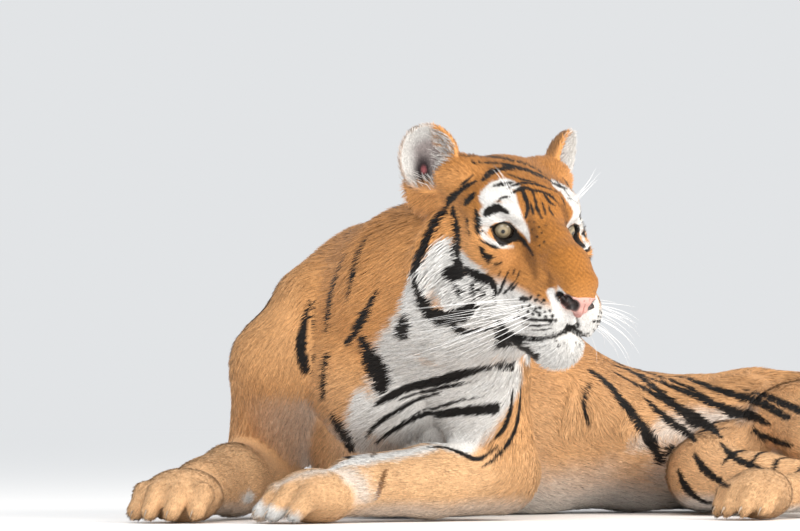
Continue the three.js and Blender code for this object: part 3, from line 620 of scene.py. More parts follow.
class Stroke:
    """A painted line through the air beside the skin, with a half width at each point."""

    def __init__(self, points, widths):
        self.points = np.asarray(points, float)
        self.widths = np.asarray(widths, float)

    def mirrored(self):
        head = to_head(self.points)
        head[:, 0] *= -1
        return Stroke(from_head(head), self.widths)

    def depth(self, points, normals, mask, noise):
        """How far inside the stroke each point lies, where it is more than the mask says.

        A point may lie above or below the stroke: up to OVERHEAD along its normal isn't counted.
        """
        reach = self.widths.max() + OVERHEAD
        low, high = self.points.min(0) - reach, self.points.max(0) + reach
        index = np.flatnonzero(((points > low) & (points < high)).all(1))
        a, b = self.points[:-1], self.points[1:]
        span = b - a
        length_sq = np.maximum((span * span).sum(1), 1e-6)
        for part in np.array_split(index, len(index) * len(a) // PAIRS_AT_ONCE + 1):
            p = points[part][:, None] - a[None]
            t = np.clip((p * span).sum(2) / length_sq, 0, 1)
            off = p - t[:, :, None] * span
            above = (off * normals[part][:, None]).sum(2)
            forgiven = np.minimum(np.abs(above), OVERHEAD)
            away = np.sqrt(np.maximum((off ** 2).sum(2) - forgiven ** 2, 0))
            wide = self.widths[:-1] + t * (self.widths[1:] - self.widths[:-1])
            mask[part] = np.maximum(mask[part], (wide - away).max(1) + noise[part])


def curve(path):
    """A path of rows with its corners cut twice."""
    for _ in range(2):
        a, b = path[:-1], path[1:]
        middle = np.stack([0.75 * a + 0.25 * b, 0.25 * a + 0.75 * b], 1).reshape(-1, path.shape[1])
        path = np.concatenate([path[:1], middle, path[-1:]])
    return path


def tapered(count, wide, start=0.35, end=0.2):
    """Half widths along a stroke that is widest in its middle. Its ends are shares of that width."""
    t = np.linspace(0, 1, count)
    return wide * np.minimum(1, np.minimum(start + t * 3.5, end + (1 - t) * 3.0))


def cast(tree, start, direction):
    place, _, _, _ = tree.ray_cast(Vector(start), Vector(direction))
    return None if place is None else np.array(place)


def photo_stroke(tree, path, wide):
    """A stroke on the skin through pixels of the photograph. wide is one half width, or one a pixel."""
    path = np.array(path, float)
    if np.isscalar(wide):
        if len(path) < 4:
            t, stations = np.linspace(0, 1, 6), np.linspace(0, 1, len(path))
            path = np.stack([np.interp(t, stations, values) for values in path.T], 1)
        wide = tapered(len(path), wide)
    points, kept = [], []
    for x, y, w in curve(np.column_stack([path, wide])):
        hit = cast(tree, *photo_ray(x, y))
        if hit is not None:
            points.append(hit)
            kept.append(w)
    return Stroke(points, kept) if len(points) > 1 else None


# Marks through pixels of the photograph: half width in mm, one or one a pixel, and the path.
# The face's are on its other side too: round the eyes, the cheek's and ruff's bands, the lips and the muzzle.
FACE_BLACK = [
    (4.6, [(493, 184.5), (500, 182.5), (508, 181.5), (515, 179.6)]),
    (2.4, [(497, 201), (501, 196.5), (506, 195), (512, 195)]),
    ((5, 7, 7, 5.5, 3), [(485, 213), (490, 209.5), (496, 208), (502, 210), (507, 213.5)]),
    (6.4, [(462, 204), (468, 198), (474, 191)]),
    ((1.8, 3.2, 4.2, 5.6, 8.8, 10, 10, 8.5),
     [(475, 179.5), (464, 186), (452, 196), (441, 206), (431, 221), (424, 239), (417, 256), (410, 271)]),
    (4.8, [(474, 208), (475, 216), (477, 224), (477, 231), (484, 230)]),
    ((3, 6, 6.5, 6.5, 6, 6), [(449, 207), (452, 222), (454, 238), (452, 250), (450, 257), (456, 267)]),
    (10.5, [(441, 276), (450, 273), (460, 276)]),
    (6.6, [(458, 270), (468, 273), (478, 280), (488, 281), (494, 289), (492, 303)]),
    (3.0, [(470, 281), (472, 289), (474, 300)]),
    (4.0, [(450, 284), (456, 292), (462, 300)]),
    (2.6, [(480, 284), (481, 291), (480, 299)]),
    ((9, 12, 13, 13, 13, 11, 7),
     [(412, 283), (416, 300), (423, 315), (436, 322), (450, 321), (461, 316), (470, 308)]),
    ((5, 9, 9, 6), [(448, 330), (460, 337), (476, 334), (494, 334)]),
    (6.5, [(396, 322), (394, 332), (393, 342)]),
    ((10, 15, 16, 12), [(499, 327), (503, 335), (507, 343), (512, 350)]),
    ((12, 15, 14, 7), [(511, 340), (517, 347), (525, 353), (535, 357)]),
    (2.8, [(514, 316), (524, 319), (536, 321), (548, 320.5), (559, 321)]),
    (1.9, [(520, 325), (530, 326.5), (540, 326.5), (553, 325)]),
    (1.5, [(530, 331), (540, 331.5), (552, 329.5)]),
    (1.6, [(526, 306), (531, 308), (536, 313), (544, 313)]),
    (1.2, [(536, 295), (538, 301), (544, 304)]),
    (3.6, [(517, 299), (523, 298), (530, 299)]),
    (3.2, [(510, 225), (519, 237), (526, 246), (532, 255)]),
    (2.6, [(479, 237), (487, 243), (497, 248), (503, 249)]),
    (5.0, [(479, 247), (483, 257), (489, 265)]),
    (4.0, [(488, 256), (492, 259)]),
    (2.0, [(494, 266), (500, 265), (505, 262)]),
    (2.4, [(497, 295), (500, 286), (505, 275)]),
    (2.4, [(501, 295), (508, 288), (515, 279)]),
    (2.0, [(509, 291), (513, 287), (517, 282)]),
    (1.3, [(500, 272), (497, 277)]),
    (1.3, [(508, 270), (505, 276)]),
    (1.3, [(514, 268), (511, 275)]),
    (1.3, [(519, 270), (516, 277)]),
    (1.3, [(504, 280), (501, 286)]),
    (2.6, [(423, 226), (432, 214), (441, 207)]),
    (2.2, [(463, 214), (466, 226), (466, 236)]),
    (2.0, [(458, 186), (466, 180), (474, 173)]),
]
# Over the crown and forehead: these aren't mirrored
BROW_BLACK = [
    ((2.5, 4.5, 5, 5, 5, 4.5, 3.5, 2),
     [(483, 178), (490, 171), (498, 167), (510, 163.5), (527, 167), (539, 171), (551, 178), (558, 184)]),
    ((2.5, 5.6, 6.4, 5.2, 2.5), [(482, 178), (489, 171), (496, 167), (504, 165), (512, 167)]),
    ((2, 4, 4.6, 4.2, 3.4, 2), [(460, 153), (478, 153), (496, 154), (514, 157.5), (530, 162), (547, 172)]),
    ((2, 3.4, 3.6, 2.6, 1.6), [(474, 160), (492, 159.5), (512, 162), (528, 168), (543, 176)]),
    (2.2, [(507, 171), (518, 176), (530, 179), (540, 180)]),
    ((1.5, 3, 3.2, 2.8, 1.5), [(507, 187), (516, 182), (527, 180.5), (543, 184), (559, 191)]),
    ((2, 4.4, 4, 2), [(513, 191.5), (519, 187.5), (527, 186), (534, 189)]),
    ((1.5, 3.2, 3.2, 2.4, 1.2), [(533, 189), (543, 190), (551, 194), (557, 199), (561, 206)]),
    ((2.6, 3.4, 3.6, 3, 1.6), [(523, 190), (526, 197), (528.5, 204), (528, 211), (526, 218)]),
    ((1.6, 2.8, 2.8, 1.6), [(533, 190), (536, 199), (537.5, 208), (542, 217)]),
    ((1.4, 2.6, 2.4, 1.4), [(543, 190), (547, 196), (551, 202), (557, 205)]),
    ((1.4, 2.2, 1.4), [(531, 201), (532.5, 207), (534, 213)]),
    ((1.4, 2.2, 1.4), [(543, 202), (545, 208), (546, 214)]),
    ((1.4, 2.2, 1.4), [(550, 206), (551, 210), (554, 214)]),
    ((1.6, 2.6, 1.6), [(556, 178), (563, 184), (570, 194)]),
    ((1.4, 2.4, 1.4), [(560, 192), (564, 198), (566, 204)]),
]
# Over and under each eye, along the muzzle, beside the nose and on the chin
FACE_WHITE = [
    ((12, 16, 15, 11, 7, 3), [(487, 197), (493, 190), (504, 191), (512, 202), (518.5, 218), (527, 236)]),
    ((9, 12, 10), [(485, 212), (495, 209), (507, 213)]),
    ((8, 11, 10, 7), [(481, 221), (490, 215), (500, 213), (510, 217)]),
    ((3, 5, 3.5), [(482, 230), (486.5, 226.5), (493, 222)]),
    ((2.5, 4.5, 5.5, 5.5, 5.5, 5.5, 4.5, 2.5),
     [(482, 223), (490, 220), (500, 218.5), (509, 219), (516, 223.5), (522, 230), (526, 236), (528, 241)]),
    ((3, 5, 5, 4, 1.4), [(482.5, 232), (488.5, 238.5), (498, 244), (507, 246.5), (515, 246)]),
    ((8, 12, 12, 8), [(489, 190), (496, 184), (506, 181), (514, 184)]),
    ((12, 17, 17, 16), [(522, 316), (540, 320), (560, 324), (576, 328)]),
    ((6, 9, 9), [(551, 291), (555, 299), (562, 314)]),
    ((24, 28, 20), [(530, 346), (556, 352), (580, 345)]),
]
RUFF_WHITE = [
    ((10, 24, 38, 40, 34, 24), [(441, 246), (434, 264), (448, 300), (476, 306), (500, 312), (514, 322)]),
    ((36, 42, 34), [(440, 340), (480, 350), (520, 352)]),
    ((16, 22, 20), [(452, 318), (476, 326), (500, 322)]),
    ((9, 10, 6), [(456, 257), (467, 267), (481, 275)]),
    ((16, 30, 36), [(416, 268), (412, 300), (410, 340)]),
]
# Painted brown shade: from the inner corner of the eye down the side of the bridge, and between the eyes
FACE_SHADE = [
    ((4, 7, 7, 4), [(524, 244), (529, 254), (533, 264), (535, 276)]),
    ((5, 7, 5), [(529, 205), (531, 222), (534, 238)]),
    ((3, 4, 3), [(548, 275), (549, 281), (551, 288)]),
]
# On the chest, the inside of the foreleg and the toes
CHEST_WHITE = [
    ((20, 40, 60, 60, 50, 34), [(398, 330), (392, 366), (410, 395), (446, 400), (484, 396), (512, 380)]),
    ((22, 34, 34, 26), [(410, 340), (428, 356), (450, 366), (480, 372)]),
    ((30, 44, 44, 24), [(372, 420), (410, 436), (450, 430), (480, 424)]),
    ((14, 20, 18), [(360, 400), (352, 430), (360, 455)]),
    ((5, 12, 15, 12), [(322, 470), (350, 458), (385, 452), (430, 444)]),
    ((8, 12, 12, 8), [(250, 497), (258, 511), (275, 518), (294, 520)]),
]
# The chest's bands, the shoulder's stripes, the flank's, and guessed ones on the thigh under the snow
BODY_BLACK = [
    ((3, 6, 7.5, 8, 8, 8, 6),
     [(375, 406), (390, 398), (407, 392), (438, 384), (468, 377), (492, 373), (517, 370)]),
    (4.2, [(364, 443), (373, 429), (389, 418), (415, 404), (442, 393)]),
    ((2, 4, 5.5, 7, 9), [(372, 453), (383, 440), (419, 420), (453, 414), (497, 410)]),
    (3.0, [(395, 404), (420, 396), (450, 388), (480, 384)]),
    (2.6, [(402, 426), (424, 414), (452, 404), (486, 398)]),
    (5.2, [(427, 444), (447, 443), (468, 453), (479, 459), (500, 447)]),
    (4.5, [(517, 388), (514, 412), (506, 430), (490, 445)]),
    (4.0, [(526, 380), (524, 408), (520, 429), (506, 452), (482, 467)]),
    (9.0, [(399, 318), (399, 330), (398, 343)]),
    ((8, 16, 18, 12), [(356, 341), (364, 356), (374, 372), (380, 388)]),
    ((8, 13, 13, 6), [(330, 420), (338, 434), (345, 446), (349, 454)]),
    ((3, 6, 7, 4), [(362, 232), (352, 252), (345, 276), (341, 300)]),
    ((3, 6, 7, 4), [(340, 250), (328, 276), (322, 304), (320, 330)]),
    ((3, 7, 8, 5), [(370, 292), (361, 312), (352, 330), (342, 344)]),
    ((3, 6, 8, 4), [(306, 300), (301, 326), (300, 352), (304, 372)]),
    ((3, 6, 7), [(322, 352), (318, 376), (318, 398)]),
    ((2, 7, 10, 11, 12, 8), [(591, 366), (604, 375), (618, 387), (636, 413), (653, 438), (664, 462)]),
    ((3, 6, 9, 9, 4), [(646, 394), (656, 404), (667, 415), (682, 427), (694, 438)]),
    ((2, 6, 9, 11, 10, 4), [(618, 369), (646, 384), (667, 397), (692, 412), (708, 423), (722, 434)]),
    ((2, 5, 8, 9, 9, 8, 4),
     [(614, 360), (646, 371), (679, 384), (707, 397), (736, 409), (751, 415), (766, 424)]),
    ((3, 7, 9, 9, 8, 6), [(672, 369), (698, 377), (721, 387), (744, 394), (764, 403), (786, 416)]),
    ((3, 7, 8, 6), [(744, 386), (774, 397), (796, 406), (815, 420)]),
    ((2, 5, 6, 4), [(596, 380), (590, 392), (588, 408), (592, 424)]),
    ((3, 8, 8, 3), [(676, 470), (682, 486), (694, 500), (712, 508)]),
    ((3, 7, 7, 3), [(694, 452), (700, 466), (712, 478), (728, 486)]),
    ((3, 7, 7, 3), [(722, 440), (730, 452), (744, 462), (762, 467)]),
    ((3, 6, 6, 3), [(752, 428), (762, 438), (776, 444), (790, 446)]),
]
# Half-white stretches: the flank's lower edge, and the wrist
BODY_PALE = [
    ((10, 20, 26, 20, 8), [(640, 446), (668, 432), (694, 420), (722, 414), (750, 412)]),
    ((9, 15, 15, 8), [(338, 468), (356, 478), (366, 490), (368, 502)]),
    ((8, 11, 11, 6), [(346, 468), (320, 468), (298, 473), (277, 484)]),
]
# The brown dash on the foreleg
LEG_BROWN = [
    ((2.4, 4, 4.5, 2.5), [(387, 468), (384, 480), (381, 492), (377, 502)]),
]
# The line between the lips, from the nose round to the corner of the mouth, and the groove under the nose
MOUTH = [(577, 326), (570, 329), (561, 333), (550, 337), (536, 339), (522, 338), (510, 335), (500, 336)]
PHILTRUM = [(577.5, 316), (577.5, 326)]
LIP_BLACK = (2.4, 2.6, 1.5, 1.3, 1.6, 2.6, 6.0, 9.0)
# The spots that the whiskers grow from
SPOT_SIZE = 2.5
WHISKER_SPOTS = [
    (537, 294), (543, 299.5), (534, 299.5), (528, 305), (534, 308), (539, 307.5), (544, 311.5), (549, 310.5),
    (526, 311.5), (531, 313.5), (520, 307), (552, 316), (538, 315), (545, 316.5), (550, 322), (556, 321),
    (516, 311), (522, 300), (529, 296.5), (512, 318),
]
# Fine specks: between the eyes and on the lower lip
SPECK_SIZE = 1.3
SPECKS = [
    (534, 221), (538, 226), (531, 229), (541, 232), (536, 236), (545, 224), (529, 222), (543, 241),
    (538, 245), (545, 336), (551, 339), (540, 341), (556, 341), (548, 344), (534, 343), (560, 337),
    (553, 334), (543, 346), (528, 345), (564, 343), (537, 348), (558, 346),
]


def along(stations, share):
    """A point and the axes of a chain of stations at a share of its stations, 0 to 1."""
    lobes = chain(stations, 1, "arm")
    place = min(share * len(lobes), len(lobes) - 1e-6)
    lobe, t = lobes[int(place)], place - int(place)
    middle = [lobe.a[i] * (1 - t) + lobe.b[i] * t for i in (0, 3, 4)]
    return middle[0], unit(middle[1]), unit(middle[2])


def in_photo(tree, point):
    """Whether the photograph's frame shows a point of the skin."""
    eye, right, _, forward = CAMERA
    way = unit(point - eye)
    if way @ right / (way @ forward) > FRAME_SIZE[0] / 2 * PIXEL_AT_HEAD / VIEW_DISTANCE:
        return False
    hit = cast(tree, eye, way)
    return hit is not None and np.linalg.norm(hit - eye) > np.linalg.norm(point - eye) - 8


RING_POINTS = 14
RING_REACH = 330  # skin further than this from the middle of a limb isn't the limb's


def ring_stroke(tree, stations, share, start, end, wide, sway, slant=0.0, unseen=False):
    """A stripe round a limb or the trunk, from one angle to another: 0 is its side axis, 90 its top.

    An unseen one ends where the photograph shows the skin.
    """
    points, widths = [], []
    profile = tapered(RING_POINTS, wide, 0.25, 0.15)
    for t, w in zip(np.linspace(0, 1, RING_POINTS), profile):
        angle = math.radians(start + (end - start) * t)
        bend = sway * math.sin(5 * t + 40 * share) * 0.02 + slant * (t - 0.5)
        place, side, up = along(stations, min(max(share + bend, 0), 1))
        hit = cast(tree, place, side * math.cos(angle) + up * math.sin(angle))
        if hit is None or np.linalg.norm(hit - place) > RING_REACH:
            continue
        if unseen and in_photo(tree, hit):
            if points:
                break
            continue
        points.append(hit)
        widths.append(w * (1 + 0.2 * math.sin(11 * t + 90 * share)))
    return Stroke(points, widths) if len(points) > 1 else None


# Stripes by rule, after the right flank's: stations, the shares of them where a stripe lies, how far that
# varies, and the values of ring_stroke, each a number or a range to draw it from
RINGS = (
    (TRUNK, (0.03, 0.085, 0.135, 0.17), 0, (112, 128), (176, 196), (4.5, 7), 1.6, (-0.02, 0.02)),  # shoulder
    (NECK, np.linspace(0.10, 0.95, 7), 0, (50, 66), (108, 135), (4, 7), 0.8),  # nape
    (NECK, (0.20, 0.42, 0.62, 0.82), 0, (136, 148), (190, 222), (6, 9), 1.2, 0.1),  # right of the neck
    (RIGHT_THIGH, np.linspace(0.40, 0.94, 4), 0.02, (-20, 0), (100, 130), (5.5, 7.5), 1.0),
    (LEFT_SHANK, np.linspace(0.30, 0.9, 4), 0, (10, 30), (130, 160), (3.5, 6), 1.0),
    (RIGHT_SHANK, np.linspace(0.30, 0.9, 4), 0, (10, 30), (130, 160), (3.5, 6), 1.0),
    (RIGHT_ARM, np.linspace(0.1, 0.75, 4), 0, (-40, -20), (40, 70), (3.5, 5.5), 1.0),  # its inner side
    (TAIL, np.linspace(0.06, 0.93, 12), 0, -75, 255, (7, 11), 0.4),
    (TAIL, (0.985,), 0, -80, 260, 26, 0),  # its black tip
    (TRUNK, np.linspace(0.26, 0.60, 6), 0, (84, 90), (48, 64), (3.5, 5.5), 1.2, (0.0, 0.03)),  # by the spine
)
# These end where the photograph shows the skin: the left hip, round the back, and the left thigh
UNSEEN_RINGS = (
    (TRUNK, np.linspace(0.66, 0.97, 6), 0, (84, 92), (0, 24), (6, 8.5), 1.0, 0.03),
    (LEFT_THIGH, np.linspace(0.08, 0.92, 7), 0, (-30, 0), (130, 170), (5.5, 8), 1.0),
)
RIGHT_FLANK = (0.012, (92, 100), (178, 208), (6, 9.5), 1.0, (0.0, 0.05))
RIGHT_FLANK_FORK = (0, (112, 128), (168, 192), (3.5, 5.5), 1.0, 0.03)


def rule_strokes(tree):
    """The stripes that the photograph doesn't show: on the back, right flank, hips, legs and tail."""
    draw = np.random.default_rng(5)
    strokes = []

    def add(stations, share, spread, *values, **options):
        if spread:
            share += draw.uniform(-spread, spread)
        values = [draw.uniform(*v) if isinstance(v, tuple) else v for v in values]
        strokes.append(ring_stroke(tree, stations, share, *values, **options))
        return share

    for share in np.linspace(0.20, 0.97, 15):
        share = add(TRUNK, share, *RIGHT_FLANK)
        if draw.random() < 0.6:
            add(TRUNK, share + 0.022, *RIGHT_FLANK_FORK)
    for rings, unseen in ((RINGS, False), (UNSEEN_RINGS, True)):
        for stations, shares, *values in rings:
            for share in shares:
                add(stations, share, *values, unseen=unseen)
    return [stroke for stroke in strokes if stroke is not None]


class Markings:
    """The strokes of each colour, laid on the skin once, and asked for any places."""

    def __init__(self, tree):
        def strokes(rows, mirror=False):
            made = [photo_stroke(tree, path, wide) for wide, path in rows]
            made = [stroke for stroke in made if stroke is not None]
            return made + [stroke.mirrored() for stroke in made] if mirror else made

        def soft(rows, softness, strength, mirror=False):
            return [(stroke, softness, strength) for stroke in strokes(rows, mirror)]

        self.white = soft(FACE_WHITE, 2.2, 1.0, True) + soft(RUFF_WHITE, 5.0, 1.0, True)
        self.white += soft(CHEST_WHITE, 8.0, 1.0) + soft(BODY_PALE, 14.0, 0.65)
        # Painted brown shade on the face, and the foreleg's brown dash
        self.brown = soft(FACE_SHADE, 4.0, 0.75, True) + soft(LEG_BROWN, 1.5, 0.9)
        spots = [(SPOT_SIZE, [(x, y), (x + 1.6, y + 0.6)]) for x, y in WHISKER_SPOTS]
        spots += [(SPECK_SIZE, [(x, y), (x + 1.2, y + 0.8)]) for x, y in SPECKS]
        self.black = strokes(FACE_BLACK + spots + [(LIP_BLACK, MOUTH)], True)
        self.black += strokes(BROW_BLACK + BODY_BLACK) + rule_strokes(tree)

    def masks(self, points, normals, grain):
        """How white each point is, how far brown marks and painted brown shade cover it, and how black it is.
        grain is a draw for each point, from -1 to 1.
        """
        soft_noise = 0.5 * wave(points, 26, 1) + 0.45 * grain

        def soft(strokes):
            share = np.zeros(len(points))
            for stroke, softness, strength in strokes:
                depth = np.full(len(points), NOWHERE)
                stroke.depth(points, normals, depth, softness * soft_noise)
                share = np.maximum(share, strength * ramp(depth, -softness, softness))
            return share

        black = np.full(len(points), NOWHERE)
        noise = 1.1 * wave(points, 16, 2) + 0.8 * grain
        for stroke in self.black:
            stroke.depth(points, normals, black, noise)
        return soft(self.white), soft(self.brown), ramp(black, -1.1, 1.1)


def wave(points, size, seed):
    """A smooth swell over space, from -1 to 1."""
    draw = np.random.default_rng(seed)
    total = np.zeros(len(points))
    for _ in range(4):
        way = unit(draw.normal(size=3))
        total += np.sin(points @ way * (2 * math.pi / (size * draw.uniform(0.7, 1.5))) + draw.uniform(0, 6))
    return total / 4


ORANGE = np.array([0.76, 0.36, 0.125])
FACE_ORANGE = np.array([0.52, 0.225, 0.062])
RUST = np.array([0.38, 0.145, 0.024])
# Brown for the foreleg's dash, and for painted shade on the face
BROWN_MARK_AND_SHADE = np.array([0.17, 0.070, 0.020])
SAND = np.array([0.82, 0.53, 0.30])
CREAM = np.array([0.88, 0.86, 0.83])
BLACK = np.array([0.012, 0.010, 0.009])
EAR_GREY = np.array([0.34, 0.29, 0.28])
EAR_PINK = np.array([0.34, 0.10, 0.11])
# Painted shade in the hollow of each ear's cup
EAR_HOLLOW_SHADE = np.array([0.030, 0.020, 0.022])
FACE_KINDS = ("bridge", "nose", "forehead", "muzzle", "brow", "chin")


def mix(a, b, share):
    """One colour for each row, from a at share 0 to b at share 1."""
    return a * (1 - share[:, None]) + b * share[:, None]


def coat_colours(places, markings, grain):
    """The coat's colour at each place: rusty on the back, sandy on the legs and, as painted light, low on the
    trunk and thighs, white below, then the marks and painted brown shade.
    """
    n, head, share = places.normals, places.head, places.share
    colour = mix(np.tile(ORANGE, (len(n), 1)), FACE_ORANGE, share(*FACE_KINDS))
    back = ramp(n[:, 2], 0.2, 0.9) * share("trunk", "neck", "crown", "ear root", "thigh")
    bridge = share("bridge", "forehead", "nose") * ramp(head[:, 2], -60, -10)
    crown = 0.3 * share("crown") * ramp(n[:, 2], -0.1, 0.5)
    colour = mix(colour, RUST, np.clip(0.45 * back + 0.85 * bridge + crown, 0, 1))
    legs = share("arm", "paw", "shank")
    # Painted light from below: the trunk and thighs turn sandy low down
    low = ramp(-places.points[:, 2], -330, -120) * share("trunk", "thigh")
    colour = mix(colour, SAND, np.clip(0.75 * legs + 0.3 * share("shoulder") + 0.55 * low, 0, 1))
    stipple = 0.34 * wave(places.points, 4.5, 8) * share(*FACE_KINDS)
    colour = colour * (1 + 0.10 * wave(places.points, 90, 3) + 0.08 * grain + stipple)[:, None]
    below = share("trunk", "neck", "thigh", "shank", "tail") + 0.6 * share("arm", "shoulder")
    under = ramp(-n[:, 2], 0.35, 0.9) * np.clip(below, 0, 1)
    belly = ramp(-places.lift, 0.72, 1.0) * share("trunk")
    muzzle = ramp(-head[:, 2], 58, 76) * share("muzzle", "chin", "nose")
    throat = share("under", "chin") * ramp(-head[:, 2], 70, 110)
    rule_white = np.clip(np.maximum.reduce([0.8 * under, belly, muzzle, throat]), 0, 1)
    white, brown, black = markings.masks(places.points, n, grain)
    # Brown marks and painted brown shade
    colour = mix(colour, BROWN_MARK_AND_SHADE, brown)
    # Painted shade: the white is darker on the chin and under the jaw
    cream = CREAM * (1 + 0.05 * grain - 0.10 * share("chin", "under"))[:, None]
    colour = mix(colour, cream, np.maximum(white, rule_white))
    return ear_colours(places, mix(colour, BLACK, black), grain)


def ear_colours(places, colour, grain):
    """The cups: pale inside with painted shade and pink skin in the hollow, black behind with a white spot,
    orange roots.
    """
    for sign in (1, -1):
        local = ear_local(places.head, sign)
        across, level = local[:, 0] * sign, local[:, 2]

        def oval(radii, middle=(0, 0)):
            """The distance from the middle of an oval, in its own radii."""
            return np.sqrt(((across - middle[0]) / radii[0]) ** 2 + ((level - middle[1]) / radii[1]) ** 2)

        cup = places.share("ear") * (places.head[:, 0] * sign > 0)
        forward = ((places.normals @ HEAD) @ turned(EAR_YAW, EAR_ROLL, sign))[:, 1]
        rim = oval((40, 44))
        pale = np.tile(EAR_GREY, (len(local), 1))
        pale = mix(pale, CREAM * 0.85, np.maximum(ramp(rim, 0.45, 0.95), ramp(across, 14, 34)))
        # Painted shade deep in the hollow of the cup
        pale = mix(pale, EAR_HOLLOW_SHADE, ramp(1.2 - oval((15, 30), (11, -19)), 0, 0.8))
        pale = mix(pale, EAR_PINK, ramp(1 - oval((6, 7), (10, -14)), 0, 0.7))
        pale = mix(pale, ORANGE, ramp(rim, 0.34, 0.56) * ramp(-across, 1, 13))
        spot = ramp(1.1 - oval((20, 20), (0, 4)), 0, 0.25)
        behind = mix(np.tile(BLACK * 1.5, (len(local), 1)), CREAM, spot)
        behind = mix(behind, ORANGE, ramp(-level, 12, 30))
        inside = ramp(forward, -0.15, 0.35)
        colour = mix(colour, mix(behind, pale, inside) * (1 + 0.12 * grain)[:, None], cup)
    return colour


# ---------------------------------------------------------------- materials
def set_inputs(node, values):
    for name, value in values.items():
        node.inputs[name].default_value = value


def painted_material(name, surface, pattern=None, grain=1, bump=0.0, deep=0.001, tones=None):
    """A surface with its own painted colours, and a pattern that presses bumps in it.

    grain is how many of the pattern's cells a metre has. tones are the pattern's darkest and lightest tone,
    where it breaks the colour too.
    """
    made = bpy.data.materials.new(name)
    made.use_nodes = True
    nodes, links = made.node_tree.nodes, made.node_tree.links
    shader = nodes["Principled BSDF"]
    set_inputs(shader, surface)
    paint = nodes.new("ShaderNodeAttribute")
    paint.attribute_name = "coat"
    colour = paint.outputs["Color"]
    if pattern:
        place = nodes.new("ShaderNodeTexCoord")
        texture = nodes.new(pattern)
        set_inputs(texture, {"Scale": grain})
        links.new(place.outputs["Object"], texture.inputs["Vector"])
        height = texture.outputs["Fac" if tones else "Distance"]
        relief = nodes.new("ShaderNodeBump")
        set_inputs(relief, {"Strength": bump, "Distance": deep})
        links.new(height, relief.inputs["Height"])
        links.new(relief.outputs["Normal"], shader.inputs["Normal"])
    if tones:
        set_inputs(texture, {"Detail": 3})
        spread = nodes.new("ShaderNodeMapRange")
        set_inputs(spread, {"From Min": 0.25, "From Max": 0.75, "To Min": tones[0], "To Max": tones[1]})
        links.new(height, spread.inputs["Value"])
        scale = nodes.new("ShaderNodeVectorMath")
        scale.operation = "SCALE"
        links.new(colour, scale.inputs[0])
        links.new(spread.outputs["Result"], scale.inputs["Scale"])
        colour = scale.outputs["Vector"]
    links.new(colour, shader.inputs["Base Color"])
    return made


def coat_material(name, roughness, bump, grain):
    """Hair or the skin under it, with a soft sheen, broken by a fine noise."""
    surface = {"Roughness": roughness, "Specular IOR Level": 0.18}
    surface.update({"Sheen Weight": 0.06, "Sheen Roughness": 0.5})
    return painted_material(name, surface, "ShaderNodeTexNoise", grain, bump, 0.002, (0.78, 1.16))


def bare_material(name, roughness, specular=0.5, clear=0.0, **pattern):
    """Eyes, lids, nose, claws and whiskers."""
    surface = {"Roughness": roughness, "Specular IOR Level": specular, "Coat Weight": clear,
               "Coat Roughness": 0.03}
    return painted_material(name, surface, **pattern)


# ---------------------------------------------------------------- tufts
ROOT_SHADE = 0.68
TIP_SHADE = 1.12
SEEN_AT = 0.65  # a tuft has the colour of the place under this share of its length
DARK_TUFTS = 0.10  # so many of them are in shade
DARK_TONE = 0.62
ROOT_DEPTH = 1.2
TIP_RISE = 0.62
BOW = 1.3
TAPER = 0.45
THICKNESS = 0.28
CLUMP = 7  # tufts that lean together
UV_PATCH = 0.003


def triangles_of(quads):
    return np.concatenate([quads[:, [0, 1, 2]], quads[:, [0, 2, 3]]])


def scattered(places, triangles, density, draw):
    """Random points over the triangles, with so many to a square millimetre at each vertex."""
    a, b, c = (places.points[triangles[:, i]] for i in range(3))
    area = np.linalg.norm(np.cross(b - a, c - a), axis=1) / 2
    expected = area * density[triangles].mean(1)
    counts = draw.poisson(expected)
    which = np.repeat(np.arange(len(triangles)), counts)
    u, v = draw.random(len(which)), draw.random(len(which))
    over = u + v > 1
    u[over], v[over] = 1 - u[over], 1 - v[over]
    weights = np.stack([1 - u - v, u, v], 1)
    return places.drawn(triangles[which], weights), triangles[which]


def tuft_faces(segments):
    """Triangles of one closed tuft: rings of three corners and a tip."""
    faces = [(0, 1, 2)]
    for s in range(segments - 1):
        for c in range(3):
            a, b = 3 * s + c, 3 * s + (c + 1) % 3
            faces += [(a, b + 3, b), (a, a + 3, b + 3)]
    last = 3 * (segments - 1)
    tip = 3 * segments
    faces += [(last + (c + 1) % 3, last + c, tip) for c in range(3)]
    return np.array(faces)


def unwrapped(points, normals):
    """A place for each point on an unwrap of six charts, one for each way that the skin faces."""
    axis = np.abs(normals).argmax(1)
    facing = axis * 2 + (normals[np.arange(len(normals)), axis] > 0)
    uv = np.zeros((len(points), 2))
    for chart in range(6):
        members = facing == chart
        if not members.any():
            continue
        flat = np.delete(points[members], chart // 2, axis=1)
        low, size = flat.min(0), np.maximum(np.ptp(flat, axis=0), 1)
        cell = np.array([(chart % 3) / 3, (chart // 3) / 2])
        uv[members] = cell + (0.02 + 0.96 * (flat - low) / size) * np.array([1 / 3, 1 / 2])
    return uv


def gathered(roots, tips, share, draw):
    """The tips drawn by a share towards the tip of a leader near each root."""
    count = len(roots)
    leaders = draw.choice(count, max(count // CLUMP, 1), replace=False)
    tree = KDTree(len(leaders))
    for i, leader in enumerate(leaders):
        tree.insert(roots[leader], i)
    tree.balance()
    nearest = leaders[[tree.find(root)[1] for root in roots]]
    return tips + (tips[nearest] - tips) * share


